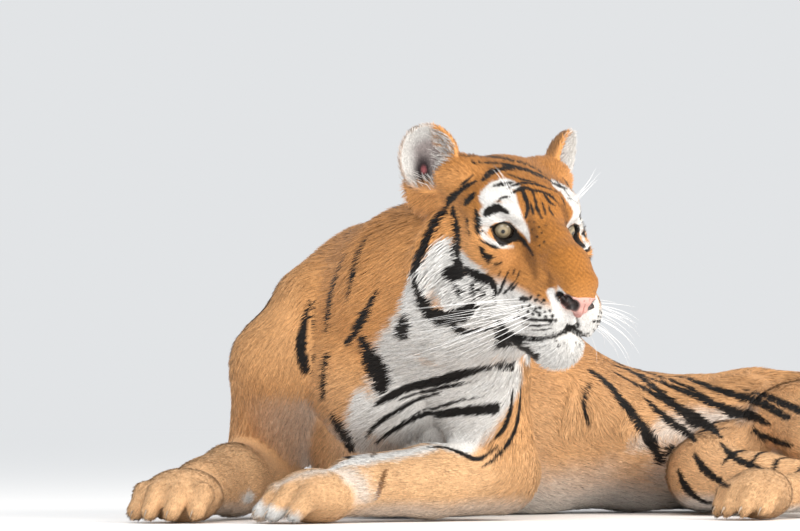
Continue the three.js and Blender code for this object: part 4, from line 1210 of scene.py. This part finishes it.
def tuft_shapes(places, length, width, lift, segments, draw, droop=0.0, gather=0.25):
    """Corner points of all tufts, which lean together in clumps: (tuft, corner, xyz), and corner normals."""
    roots, normals, lie = places.points, places.normals, places.lie
    count = len(roots)
    side = unit(np.cross(lie, normals))
    turn = draw.normal(0, np.radians(8), count)[:, None]
    way = unit(lie * np.cos(turn) + side * np.sin(turn))
    angle = np.radians(lift * draw.uniform(0.6, 1.45, count))
    reach, rise = length * np.cos(angle), length * np.sin(angle)
    tips = roots + way * reach[:, None] + normals * (rise * TIP_RISE)[:, None]
    tips[:, 2] -= droop * length
    tips = gathered(roots, tips, gather, draw)
    side = unit(np.cross(tips - roots, normals))
    roll = draw.normal(0, 0.5, count)[:, None]
    side = unit(side * np.cos(roll) + normals * np.sin(roll))
    up = unit(np.cross(side, tips - roots))
    up *= np.sign((up * normals).sum(1))[:, None]
    rings = []
    for s in range(segments):
        t = s / segments
        wide = width * (1.0 - TAPER * t)
        middle = roots + (tips - roots) * t + normals * (rise * BOW * t * (1 - t))[:, None]
        if s == 0:
            middle = middle - normals * ROOT_DEPTH
        half = side * (wide / 2)[:, None]
        rings += [middle - half, middle + half, middle + up * (wide * THICKNESS)[:, None]]
    corners = np.stack([*rings, tips], 1)
    bare = np.stack([*([-side, side, up] * segments), unit(tips - roots)], 1)
    return corners, unit(0.75 * normals[:, None] + 0.45 * bare)


def add_coat(name, places, paint, sizes, segments, material, slot, draw, **shape):
    """A piece of coat: one joined mesh of closed tufts, each with the colour of the place that it covers.

    sizes are the tufts' lengths, widths and lifts. paint gives the colours of places, with a draw for each.
    """
    corners, shading = tuft_shapes(places, *sizes, segments, draw, **shape)
    corners[:, :, 2] = np.maximum(corners[:, :, 2], SKIN_FLOOR)
    count, per = corners.shape[:2]
    faces = (tuft_faces(segments)[None] + per * np.arange(count)[:, None, None]).reshape(-1, 3)
    piece = add_mesh(name, corners.reshape(-1, 3), faces, material, slot=slot)
    grain, tone = draw.uniform(-1, 1, count), draw.uniform(0.80, 1.15, count)
    tone[draw.random(count) < DARK_TUFTS] *= DARK_TONE
    seen = places.points + (corners[:, -1] - places.points) * SEEN_AT
    colour = paint(places.moved(seen), grain) * tone[:, None]
    shade = ROOT_SHADE + (TIP_SHADE - ROOT_SHADE) * (np.arange(per) // 3) / segments
    painted = colour[:, None] * shade[None, :, None]
    add_colours(piece, np.clip(painted.reshape(-1, 3), 0, 1))
    normal = piece.data.attributes.new("custom_normal", "FLOAT_VECTOR", "POINT")
    normal.data.foreach_set("vector", shading.reshape(-1, 3).astype(np.float32).ravel())
    across = np.tile([0, 1, 0.5], segments + 1)[:per]
    patch = UV_PATCH * (np.stack([across, np.linspace(0, 1, per)], 1) - 0.5)
    spots = unwrapped(places.points, places.normals)[:, None] + patch[None]
    layer = piece.data.uv_layers.new(name="OFBake")
    layer.data.foreach_set("uv", spots.reshape(-1, 2)[faces.ravel()].astype(np.float32).ravel())


# ---------------------------------------------------------------- camera, floor and light
def camera_axes():
    """The camera's place, and its right, up and forward axes, all of it aimed level with the photograph."""
    right, back = level_axes(VIEW_AZIMUTH)
    level = -back
    across = (EYE_PIXEL[0] - FRAME_SIZE[0] / 2) * PIXEL_AT_HEAD
    place = right * (EYE_MIDDLE @ right - across) + level * (EYE_MIDDLE @ level - VIEW_DISTANCE)
    place[2] = VIEW_HEIGHT
    eye_rise = math.atan2(EYE_MIDDLE[2] - VIEW_HEIGHT, VIEW_DISTANCE)
    above = (FRAME_SIZE[1] / 2 - EYE_PIXEL[1]) * PIXEL_AT_HEAD
    tilt = eye_rise - math.atan2(above, VIEW_DISTANCE)
    up = UP * math.cos(tilt) - level * math.sin(tilt)
    return place, right, up, level * math.cos(tilt) + UP * math.sin(tilt)


CAMERA = camera_axes()


def photo_ray(x, y):
    """The ray through a pixel of the photograph: its start and direction."""
    place, right, up, forward = CAMERA
    focal = VIEW_DISTANCE / PIXEL_AT_HEAD
    aim = forward * focal + right * (x - FRAME_SIZE[0] / 2) + up * (FRAME_SIZE[1] / 2 - y)
    return place, unit(aim)


def aim(seer, place, back):
    """A camera or lamp set at a place in metres, with its back turned that way."""
    seer.location = place
    seer.rotation_mode = "QUATERNION"
    seer.rotation_quaternion = Vector(back).to_track_quat("Z", "Y")


SENSOR_WIDTH = 36


def add_camera():
    place, _, _, forward = CAMERA
    data = bpy.data.cameras.new("camera")
    data.sensor_width = SENSOR_WIDTH
    data.lens = SENSOR_WIDTH * VIEW_DISTANCE / PIXEL_AT_HEAD / FRAME_SIZE[0]
    data.clip_end = 100
    camera = add_object("camera", data)
    aim(camera, metres(place), -forward)
    bpy.context.scene.camera = camera


SKY = (0.96, 0.98, 1.0, 1)
LIGHT_FROM_SKY = 0.90
FLOOR_WHITENESS = 0.88
FLOOR_HALF = 40
LIT = Vector((0.25, 0.1, 0.2))
# Lamps that all point at LIT, in metres: place, size, watts and colour
LAMPS = {
    "key": ((0.6, -3.4, 2.3), 2.0, 78, (1.0, 0.97, 0.93)),
    "front": ((1.2, -3.4, 0.8), 1.6, 9, (1.0, 0.97, 0.93)),
    "side": ((3.4, -1.0, 1.9), 1.6, 120, (1.0, 0.93, 0.84)),
}


def add_sky():
    """Soft light from all round, in front of a backdrop of the floor's tone."""
    world = bpy.data.worlds.new("studio")
    bpy.context.scene.world = world
    world.use_nodes = True
    nodes, links = world.node_tree.nodes, world.node_tree.links
    sky = nodes["Background"]
    set_inputs(sky, {"Color": SKY, "Strength": LIGHT_FROM_SKY})
    backdrop = nodes.new("ShaderNodeBackground")
    set_inputs(backdrop, {"Color": SKY, "Strength": LIGHT_FROM_SKY * FLOOR_WHITENESS})
    path = nodes.new("ShaderNodeLightPath")
    either = nodes.new("ShaderNodeMixShader")
    links.new(path.outputs["Is Camera Ray"], either.inputs["Fac"])
    links.new(sky.outputs["Background"], either.inputs[1])
    links.new(backdrop.outputs["Background"], either.inputs[2])
    links.new(either.outputs["Shader"], nodes["World Output"].inputs["Surface"])


def add_studio():
    """The sky, the lamps, and a floor that runs into the backdrop."""
    add_sky()
    for name, (place, size, watts, colour) in LAMPS.items():
        data = bpy.data.lights.new(name, "AREA")
        data.energy = watts
        data.size = size
        data.color = colour
        aim(add_object(name, data), place, Vector(place) - LIT)
    mesh = bpy.data.meshes.new("floor")
    corners = [(x * FLOOR_HALF, y * FLOOR_HALF, 0) for x, y in ((-1, -1), (1, -1), (1, 1), (-1, 1))]
    mesh.from_pydata(corners, [], [(0, 1, 2, 3)])
    floor = add_object("floor", mesh)
    paint = bpy.data.materials.new("floor")
    paint.use_nodes = True
    white = (FLOOR_WHITENESS, FLOOR_WHITENESS, FLOOR_WHITENESS, 1)
    surface = {"Base Color": white, "Roughness": 1.0, "Specular IOR Level": 0.0}
    set_inputs(paint.node_tree.nodes["Principled BSDF"], surface)
    mesh.materials.append(paint)


# ---------------------------------------------------------------- eyes
IRIS_RADIUS = 11.9
PUPIL_RADIUS = 2.6
CORNEA_RISE = 1.3
IRIS = np.array([0.235, 0.190, 0.120])
IRIS_EDGE = np.array([0.085, 0.066, 0.042])
SCLERA = np.array([0.030, 0.020, 0.015])
PUPIL = np.full(3, 0.003)


def grid_faces(rows, columns):
    """Quads over rows of points, each row a closed ring."""
    faces = []
    for i in range(rows - 1):
        for j in range(columns):
            k = (j + 1) % columns
            faces.append((i * columns + j, i * columns + k, (i + 1) * columns + k, (i + 1) * columns + j))
    return np.array(faces)


def add_eye(sign, material):
    """An eyeball with a domed cornea: pupil, iris with its spokes and dark edge, and dark sclera."""
    axes, centre = eye_frame(sign)
    spokes = 120
    polar = np.radians(np.concatenate([np.linspace(0.3, 46, 66), np.linspace(50, 179.7, 24)]))
    turn = np.linspace(0, 2 * math.pi, spokes, endpoint=False)
    p, t = (a.ravel() for a in np.meshgrid(polar, turn, indexing="ij"))
    radius = EYEBALL_RADIUS + CORNEA_RISE * ramp(-p, -math.radians(44), -math.radians(8))
    local = np.stack([np.sin(p) * np.cos(t), np.cos(p), np.sin(p) * np.sin(t)], 1) * radius[:, None]
    out = EYEBALL_RADIUS * np.sin(np.minimum(p, math.pi / 2))
    spoke = 0.5 + 0.5 * np.sin(t * 23 + 3 * np.sin(t * 5)) * np.sin(t * 41 + out)
    colour = mix(np.tile(IRIS, (len(p), 1)), IRIS_EDGE, 0.45 * spoke * ramp(out, 3, 8))
    colour = mix(colour, IRIS * 1.3, ramp(out, 3, 4.5) * ramp(-out, -8, -5))
    colour = mix(colour, IRIS_EDGE * 0.4, ramp(out, IRIS_RADIUS - 2.2, IRIS_RADIUS - 0.4))
    colour = mix(colour, SCLERA, ramp(out, IRIS_RADIUS - 0.3, IRIS_RADIUS + 0.7))
    colour = mix(colour, PUPIL, ramp(-out, -PUPIL_RADIUS - 0.25, -PUPIL_RADIUS + 0.25))
    faces = grid_faces(len(polar), spokes)
    points = local @ axes.T @ HEAD.T
    a, b, c = (points[faces[:, i]] for i in range(3))
    if (np.cross(b - a, c - a) * a).sum() < 0:  # inside out
        faces = faces[:, ::-1]
    name = "left_eye" if sign > 0 else "right_eye"
    eye = add_mesh(f"{name}_ball", from_head(centre + local @ axes.T), faces, material, [name], "eye")
    add_colours(eye, colour)


# The lids' opening and their outline on the skin: half length, height above and below the eyeball's middle,
# and what share of the half length lies on the temple's side. The points are how sharp their corners are.
LID_EDGE = (19.0, 10.6, 10.8, 0.92)
LID_OUTSIDE = (27.0, 14.0, 13.8, 0.74)
EDGE_POINT = 0.675
OUTSIDE_POINT = 1.35
INNER_DROP = 5.5  # how far the inner corner hangs
LID_LIFT = 1.2
LID_BLACK = np.array([0.010, 0.008, 0.007])


def almond(angle, half_length, above, below, corner, point, sign):
    """The outline of the lids' opening, pointed at its corners and drawn out and down at the inner one."""
    x, z = np.cos(angle), np.sin(angle)
    inner = np.maximum(-x * sign, 0)
    tall = np.sign(z) * np.abs(z) ** (2 * point) * np.where(z > 0, above, below)
    drawn_out = np.where(x * sign > 0, 1 - (1 - corner) * np.abs(x) ** 0.5, 1 + 0.20 * inner ** 2)
    return np.stack([x * half_length * drawn_out, tall - INNER_DROP * inner ** 3], 1)


def lid_share(head, sign, size, grow=0.0):
    """1 inside the outline of the lids, 0 outside, for points of the head's frame near an eye."""
    axes, centre = eye_frame(sign)
    local = (head - centre) @ axes
    half_length, above, below = (s + grow for s in size[:3])
    out = local[:, 0] * sign / half_length
    out = out / np.where(out > 0, size[3], 1.0)
    inner = np.clip(-out, 0, 1.2)
    out = out / (1 + 0.14 * inner ** 2)
    level = local[:, 2] + INNER_DROP * (inner / 1.15) ** 3
    tall = np.maximum(1 - out ** 2, 0) ** OUTSIDE_POINT * np.where(level > 0, above, below)
    return ramp(tall - np.abs(level), -0.6, 0.6) * (local[:, 1] > 0) * (np.abs(local[:, 1]) < 60)


def add_lids(sign, tree, material):
    """Both lids as one black rim, from their moist edge on the eyeball out over the skin."""
    axes, centre = eye_frame(sign)
    rings, spokes, ahead = 12, 96, 60
    angle = np.linspace(0, 2 * math.pi, spokes, endpoint=False)
    inner = almond(angle, *LID_EDGE, EDGE_POINT, sign)
    outer = almond(angle, *LID_OUTSIDE, OUTSIDE_POINT, sign)
    look = -(HEAD @ axes[:, 1])
    depths = []
    for x, z in outer:
        start = from_head(centre + axes @ np.array([x, ahead, z]))
        hit = cast(tree, start, look)
        depths.append(EYEBALL_RADIUS if hit is None else ahead - np.linalg.norm(hit - start) + 0.9)
    depths = np.clip(np.array(depths), 8, 34)
    for _ in range(3):
        depths = (np.roll(depths, 1) + depths + np.roll(depths, -1)) / 3
    rows = []
    for t in np.linspace(0, 1, rings):
        flat = inner * (1 - t) + outer * t
        on_ball = np.sqrt(np.maximum((EYEBALL_RADIUS + LID_LIFT) ** 2 - (flat ** 2).sum(1), 16))
        share = float(ramp(t, 0.15, 1.0))
        depth = on_ball * (1 - share) + depths * share + 1.6 * math.sin(math.pi * min(t * 1.5, 1))
        rows.append(np.stack([flat[:, 0], depth - (3 if t == 0 else 0), flat[:, 1]], 1))
    local = np.concatenate(rows)
    name = ("left" if sign > 0 else "right") + "_lids"
    faces = grid_faces(rings, spokes)
    points = from_head(centre + local @ axes.T)
    if (normals_of(points, faces) @ (HEAD @ axes[:, 1])).sum() < 0:
        faces = faces[:, ::-1]
    lids = add_mesh(name, points, faces, material, slot="face_coat")
    add_colours(lids, np.tile(LID_BLACK, (len(points), 1)))


# ---------------------------------------------------------------- nose
NOSE_PINK = np.array([0.56, 0.30, 0.26])
NOSE_DARK = np.array([0.060, 0.034, 0.032])
# Painted shade inside the nostrils and their slits
NOSTRIL_SHADE = np.array([0.005, 0.004, 0.004])
NOSE_CELL = 1.1
# The leather's forms in the head's frame, place, radii and blend, and the groove in its middle
NOSE_KNOBS = (
    ((0, 132, -53), (24, 17, 13.5), 6), ((0, 134, -66), (13, 13.5, 8), 8), ((0, 133, -74), (4, 10.5, 6), 7),
    ((17, 131, -58), (11, 15, 11), 6), ((-17, 131, -58), (11, 15, 11), 6),
)
NOSE_GROOVE = ((0, 151, -66), (0.9, 8, 15), 2)
# Half the width that is bare at each level of the head's frame, in front of BARE_FROM
NOSE_LEVELS = (-80, -79, -73, -66, -57, -43, -30, -24)
NOSE_HALF_WIDTHS = (0, 2, 7, 17, 24, 23, 18, 0)
BARE_FROM = 112


def hole_share(points, grow=0, low=-1.6, high=0.6):
    """1 in the nostrils and their slits, 0 outside, for points of the head's frame."""
    share = np.zeros(len(points))
    for sign in (1, -1):
        for hole in nostril_holes(sign, grow):
            share = np.maximum(share, ramp(-hole.distance(*points.T), low, high))
    return share


def add_nose(material):
    """The bare leather of the nose: pink and freckled, with its nostrils and the groove below."""
    spans = ((-40, 40), (106, 162), (-88, -26))
    field = Field([grid_axis((low, NOSE_CELL), (high, 0)) for low, high in spans])
    for place, radii, blend in NOSE_KNOBS:
        field.join(ball(place, radii, blend, "nose", coat=0))
    groove = ball(*NOSE_GROOVE, "nose", coat=0)
    for hole in (*nostril_holes(1), *nostril_holes(-1), groove):
        field.carve(hole)
    local, quads = field.surface()
    local = relaxed(local, quads, 2)
    drop = local[:, 2]
    colour = np.tile(NOSE_PINK, (len(local), 1)) * (1 + 0.06 * wave(local, 6, 8))[:, None]
    colour = mix(colour, NOSE_PINK * [0.72, 0.62, 0.62], ramp(-drop, 66, 76))
    specks = ramp(wave(local, 3.4, 7), 0.42, 0.62) * ramp(drop, -60, -46)
    colour = mix(colour, NOSE_DARK, 0.85 * specks)
    colour = mix(colour, NOSE_DARK, 0.9 * hole_share(local, low=-3.6, high=-0.8))
    # Painted shade in the nostrils' holes
    colour = mix(colour, NOSTRIL_SHADE, hole_share(local))
    nose = add_mesh("nose_leather", from_head(local), quads[:, ::-1], material, slot="face_coat")
    add_colours(nose, colour)


# ---------------------------------------------------------------- claws
CLAW_HORN = np.array([0.34, 0.26, 0.19])
CLAW_LENGTH = 11
CLAW_ROOT = 3.0
CLAW_HEIGHT = 18


def add_claws(material):
    """The tips of the claws that show between the hair of each toe."""
    sides, stations = 8, 7
    turn = np.linspace(0, 2 * math.pi, sides, endpoint=False)
    points, faces = [], []
    for x, y, heading, length, width in PAWS:
        side, forward = level_axes(heading)
        for across, reach in TOES:
            tip = np.array([x, y, 0.0]) + side * across * width * 1.1
            tip += forward * (length * (reach + 0.04) + 9)
            tip[2] = CLAW_HEIGHT
            faces.append(grid_faces(stations, sides) + len(points))
            for t in np.linspace(0, 1, stations):
                middle = tip + forward * CLAW_LENGTH * t + np.array([0, 0, 2 * t - 13 * t * t])
                thick = CLAW_ROOT * (1 - t) ** 0.8 + 0.2
                points += [middle + side * math.cos(a) * thick * 0.6 + UP * math.sin(a) * thick for a in turn]
    points = np.array(points)
    piece = add_mesh("claws", points, np.concatenate(faces), material, slot="paw_coat")
    tone = 1 - 0.5 * ramp(-points[:, 2], -18, -8)
    add_colours(piece, CLAW_HORN * tone[:, None])


# ---------------------------------------------------------------- whiskers
WHISKER_ROWS = 4
WHISKER_COLUMNS = 6
WHISKER_RADIUS = 0.46
BROW_HAIRS = 5
BROW_HAIR_RADIUS = 0.42
WHISKER_WHITE = 0.86


def whisker(root, way, bend, length, radius):
    """The rings of one tapered hair from its root: (station, side, xyz)."""
    sides, stations = 5, 12
    t = np.linspace(0, 1, stations)[:, None]
    line = root + way * length * t + bend * length * t ** 2
    ahead = unit(np.gradient(line, axis=0))
    side = unit(np.cross(ahead, [0.1, 0.2, 1]))
    up = np.cross(side, ahead)
    angle = np.linspace(0, 2 * math.pi, sides, endpoint=False)[None, :, None]
    thick = radius * (1 - 0.85 * t)
    return line[:, None] + (side[:, None] * np.cos(angle) + up[:, None] * np.sin(angle)) * thick[:, :, None]


def lip_whisker(tree, sign, row, column, draw):
    ahead = 58 + 9.5 * column + draw.normal(0, 1.5)
    level = -80 - 8.5 * row + 1.2 * column + draw.normal(0, 1)
    root = cast(tree, from_head((0, ahead - 12, level)), HEAD @ unit(np.array([sign, 0.25, 0])))
    if root is None:
        return None
    way = unit(np.array([sign * 0.95, -0.15 + 0.10 * column, -0.10 - 0.10 * row]))
    way = HEAD @ unit(way + draw.normal(0, 0.09, 3))
    bend = HEAD @ np.array([0, -0.42 - 0.1 * draw.random(), -0.18 - 0.1 * draw.random()])
    length = 95 + 9 * (WHISKER_COLUMNS - 1 - column) + draw.uniform(-15, 20)
    return whisker(root, way, bend, length, WHISKER_RADIUS)


def brow_whisker(tree, sign, i, draw):
    aim = unit(np.array([sign * (0.35 + 0.07 * i), 0.8, 0.35 + 0.06 * i]))
    root = cast(tree, from_head((30 * sign, -40, 20)), HEAD @ aim)
    if root is None:
        return None
    way = HEAD @ unit(np.array([sign * 0.55, 0.25, 0.9]) + draw.normal(0, 0.08, 3))
    bend = HEAD @ np.array([0.1 * sign, -0.3, -0.1])
    return whisker(root, way, bend, draw.uniform(50, 75), BROW_HAIR_RADIUS)


def add_whiskers(tree, material, draw):
    """Long stiff hairs in rows on each lip, and a few over each eye, as tapered tubes."""
    hairs = []
    for sign in (1, -1):
        for row in range(WHISKER_ROWS):
            hairs += [lip_whisker(tree, sign, row, column, draw) for column in range(WHISKER_COLUMNS)]
        hairs += [brow_whisker(tree, sign, i, draw) for i in range(BROW_HAIRS)]
    hairs = np.array([hair for hair in hairs if hair is not None])
    count, stations, sides, _ = hairs.shape
    faces = grid_faces(stations, sides)[None] + stations * sides * np.arange(count)[:, None, None]
    piece = add_mesh("whiskers", hairs.reshape(-1, 3), faces.reshape(-1, 4), material, slot="face_coat")
    add_colours(piece, np.full((len(piece.data.vertices), 3), WHISKER_WHITE))


# ---------------------------------------------------------------- the whole animal
# Each group of coat pieces: its kinds of place, how many times its tufts cover them, segments of a tuft, slot
GROUPS = {
    "face_coat": (
        ("forehead", "bridge", "muzzle", "nose", "chin", "cheek", "brow", "crown"), 2.6, 1, "face_coat"),
    "ear_coat": (("ear", "ear root"), 2.6, 1, "ear_coat"),
    "ruff": (("jowl", "under"), 3.4, 3, "face_coat"),
    "paw_coat": (("paw",), 2.4, 1, "paw_coat"),
    "body_coat": (("trunk", "neck", "shoulder", "arm", "thigh", "shank", "tail"), 3.0, 1, "coat"),
}
RUFF_DROOP = 0.12
TUFT_FILL = 0.6  # a tuft covers this share of its length times its width
PIECE_LIMIT = 190000
LIP_BARE = 1.8
NEAR_FLOOR = 4


def mouth_strokes(tree):
    """The line between the lips on both sides, and the groove under the nose."""
    near = photo_stroke(tree, MOUTH, LIP_BLACK)
    return [near, near.mirrored(), photo_stroke(tree, PHILTRUM, 1.0)]


def away_from(strokes, points, normals):
    """The distance of each point from the middle line of the nearest stroke, up to 50."""
    depth = np.full(len(points), NOWHERE)
    for stroke in strokes:
        line = Stroke(stroke.points, np.zeros(len(stroke.points)))
        line.depth(points, normals, depth, np.zeros(len(points)))
    return -depth


def with_lips(points, normals, mouth):
    """The skin pressed in along the mouth, with the lips swelling beside it."""
    away = away_from(mouth[:2], points, normals)
    groove = away_from(mouth[2:], points, normals)
    push = 1.6 * np.exp(-((away - 8) / 3.5) ** 2) - 6.5 * np.exp(-(away / 3.4) ** 2)
    push -= 2.5 * np.exp(-(groove / 2.4) ** 2)
    return points + normals * push[:, None]


def bare(places, mouth):
    """1 where the coat grows, 0 round the eyes, on the nose and between the lips."""
    grows = np.ones(len(places.points))
    head = places.head
    for sign in (1, -1):
        grows[lid_share(head, sign, LID_OUTSIDE, -0.6) > 0.5] = 0
    half_width = np.interp(head[:, 2], NOSE_LEVELS, NOSE_HALF_WIDTHS)
    grows[(np.abs(head[:, 0]) < half_width) & (head[:, 1] > BARE_FROM)] = 0
    grows[hole_share(head) > 0.2] = 0
    grows[away_from(mouth, places.points, places.normals) < LIP_BARE] = 0
    return grows


def scattered_coat(places, triangles, mouth, hollow_shade):
    """The roots of all tufts, with how deep in a hollow each is, which sets their painted shade. None cover
    what is bare.
    """
    _, length, width, _ = places.sizes().T
    cover = sum(times * places.share(*kinds) for kinds, times, _, _ in GROUPS.values())
    density = cover / (TUFT_FILL * length * width)
    density[(places.points[:, 2] < NEAR_FLOOR) & (places.normals[:, 2] < -0.4)] = 0
    tufts, corners = scattered(places, triangles, density, random)
    reach = tufts.lie * tufts.sizes()[:, 1:2]
    grows = bare(tufts, mouth)
    for share in (0.45, 0.9):
        grows *= bare(tufts.moved(tufts.points + share * reach), mouth)
    rows = np.flatnonzero(grows)
    return tufts.chosen(rows), hollow_shade[corners[rows]].mean(1)


def add_coats(places, triangles, markings, mouth, hollow_shade, material):
    """Every piece of the coat, from tufts scattered over the skin. A group's pieces lie side by side."""
    tufts, tuft_hollow_shade = scattered_coat(places, triangles, mouth, hollow_shade)
    kind = tufts.shares.argmax(1)
    for name, (kinds, _, segments, slot) in GROUPS.items():
        members = np.flatnonzero(np.isin(kind, [KINDS.index(k) for k in kinds]))
        pieces = max(1, math.ceil(len(members) * len(tuft_faces(segments)) / PIECE_LIMIT))
        order = tufts.points[members, 0] + 0.5 * tufts.points[members, 1]
        members = members[np.argsort(order, kind="stable")]
        for i, part in enumerate(np.array_split(members, pieces)):
            # Painted shade: tufts rooted in hollows are darkened
            chosen, dark = tufts.chosen(part), 1 - 0.5 * tuft_hollow_shade[part]
            _, length, width, lift = chosen.sizes().T
            length = length * random.uniform(0.7, 1.25, len(part))
            width = width * random.uniform(0.8, 1.2, len(part))

            def paint(at, grain, dark=dark):
                return coat_colours(at, markings, grain) * dark[:, None]

            droop = RUFF_DROOP if name == "ruff" else 0.0
            sizes = (length, width, lift)
            add_coat(f"{name}_{i + 1}", chosen, paint, sizes, segments, material, slot, random, droop=droop)


FRINGE_WHITE = np.array([0.62, 0.58, 0.55])
FRINGE_DENSITY = 0.22
FRINGE_WIDTH = 0.75


def add_ear_fringe(places, triangles, material):
    """Long pale hairs in each ear, from its inner edge and its foot across the hollow."""
    density = np.zeros(len(places.points))
    ways = np.zeros_like(places.points)
    for sign in (1, -1):
        spot = ear_local(places.head, sign)
        axes = HEAD @ turned(EAR_YAW, EAR_ROLL, sign)
        across = spot[:, 0] * sign
        forward = places.normals @ axes[:, 1]
        inner_edge = ramp(-across, 2, 26) + 0.35 * ramp(-spot[:, 2], 10, 36)
        here = (places.head[:, 0] * sign > 0) & (np.abs(spot[:, 1]) < 30) & (np.abs(across) < 40)
        here &= spot[:, 2] > -42
        grows = here * places.share("ear") * ramp(forward, 0.1, 0.5) * np.clip(inner_edge, 0, 1)
        density = np.where(here, FRINGE_DENSITY * grows, density)
        ways[here] = axes @ np.array([0.8 * sign, 0.25, 0.6])
    lie = unit(ways - places.normals * (ways * places.normals).sum(1)[:, None] + 1e-6)
    fringe = Places(places.points, places.normals, lie, places.shares, places.lift)
    tufts, _ = scattered(fringe, triangles, density, random)
    count = len(tufts.points)
    sizes = (random.uniform(9, 20, count), np.full(count, FRINGE_WIDTH), random.uniform(14, 40, count))
    colours = FRINGE_WHITE * random.uniform(0.75, 1.25, (count, 1))

    def paint(at, grain):
        return colours

    add_coat("ear_fringe", tufts, paint, sizes, 3, material, "ear_coat", random, gather=0.5)


SKIN_SHADE = 0.74  # painted shade: the skin is darker than the coat over it, as the shade under the hair


def skin_colours(places, markings, mouth, hollow_shade):
    points, head = places.points, places.head
    # Painted shade: the skin is darker than the coat over it, and darker again in hollows and creases
    colour = SKIN_SHADE * coat_colours(places, markings, np.zeros(len(points))) * (1 - 0.5 * hollow_shade)[:, None]
    lips = np.full(len(points), NOWHERE)
    for stroke in mouth:
        stroke.depth(points, places.normals, lips, 0.6 * wave(points, 9, 4))
    colour = mix(colour, LID_BLACK, ramp(lips, -1.0, 1.0))
    for sign in (1, -1):
        colour = mix(colour, LID_BLACK, lid_share(head, sign, LID_OUTSIDE, 0.8))
    # Painted shade on the skin inside the carved nostrils
    return mix(colour, NOSTRIL_SHADE, hole_share(head, 1.4))


def build():
    points, quads = skin_surface()
    normals = normals_of(points, quads)
    mouth = mouth_strokes(BVHTree.FromPolygons(points.tolist(), quads.tolist()))
    points = with_lips(points, normals, mouth)
    normals = normals_of(points, quads)
    tree = BVHTree.FromPolygons(points.tolist(), quads.tolist())
    places = places_on(points, normals)
    over = points + normals * places.sizes()[:, :1]
    markings = Markings(BVHTree.FromPolygons(over.tolist(), quads.tolist()))
    # Painted shade: how deep each skin vertex lies in a hollow or crease, which darkens the skin and the
    # tufts rooted there
    hollow_shade = ramp(((relaxed(points, quads, 6) - points) * normals).sum(1), 0.5, 3.0)
    fur = coat_material("fur", 0.62, 0.15, 260)
    hide = coat_material("hide", 0.8, 0.5, 420)
    leather = bare_material("leather", 0.40, pattern="ShaderNodeTexVoronoi", grain=800, bump=0.3)
    wet = bare_material("wet", 0.16, specular=0.25, clear=0.5)
    rim = bare_material("rim", 0.34)
    horn = bare_material("horn", 0.42)
    flesh = [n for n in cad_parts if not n.endswith("_eye")]
    skin = add_mesh("skin", points, quads, hide, flesh)
    add_colours(skin, skin_colours(places, markings, mouth, hollow_shade))
    for sign in (1, -1):
        add_eye(sign, wet)
        add_lids(sign, tree, rim)
    add_nose(leather)
    add_claws(horn)
    add_whiskers(tree, horn, random)
    triangles = triangles_of(quads)
    add_coats(places, triangles, markings, mouth, hollow_shade, fur)
    add_ear_fringe(places, triangles, fur)


build()
add_camera()
add_studio()
bpy.context.scene.view_settings.view_transform = "Standard"
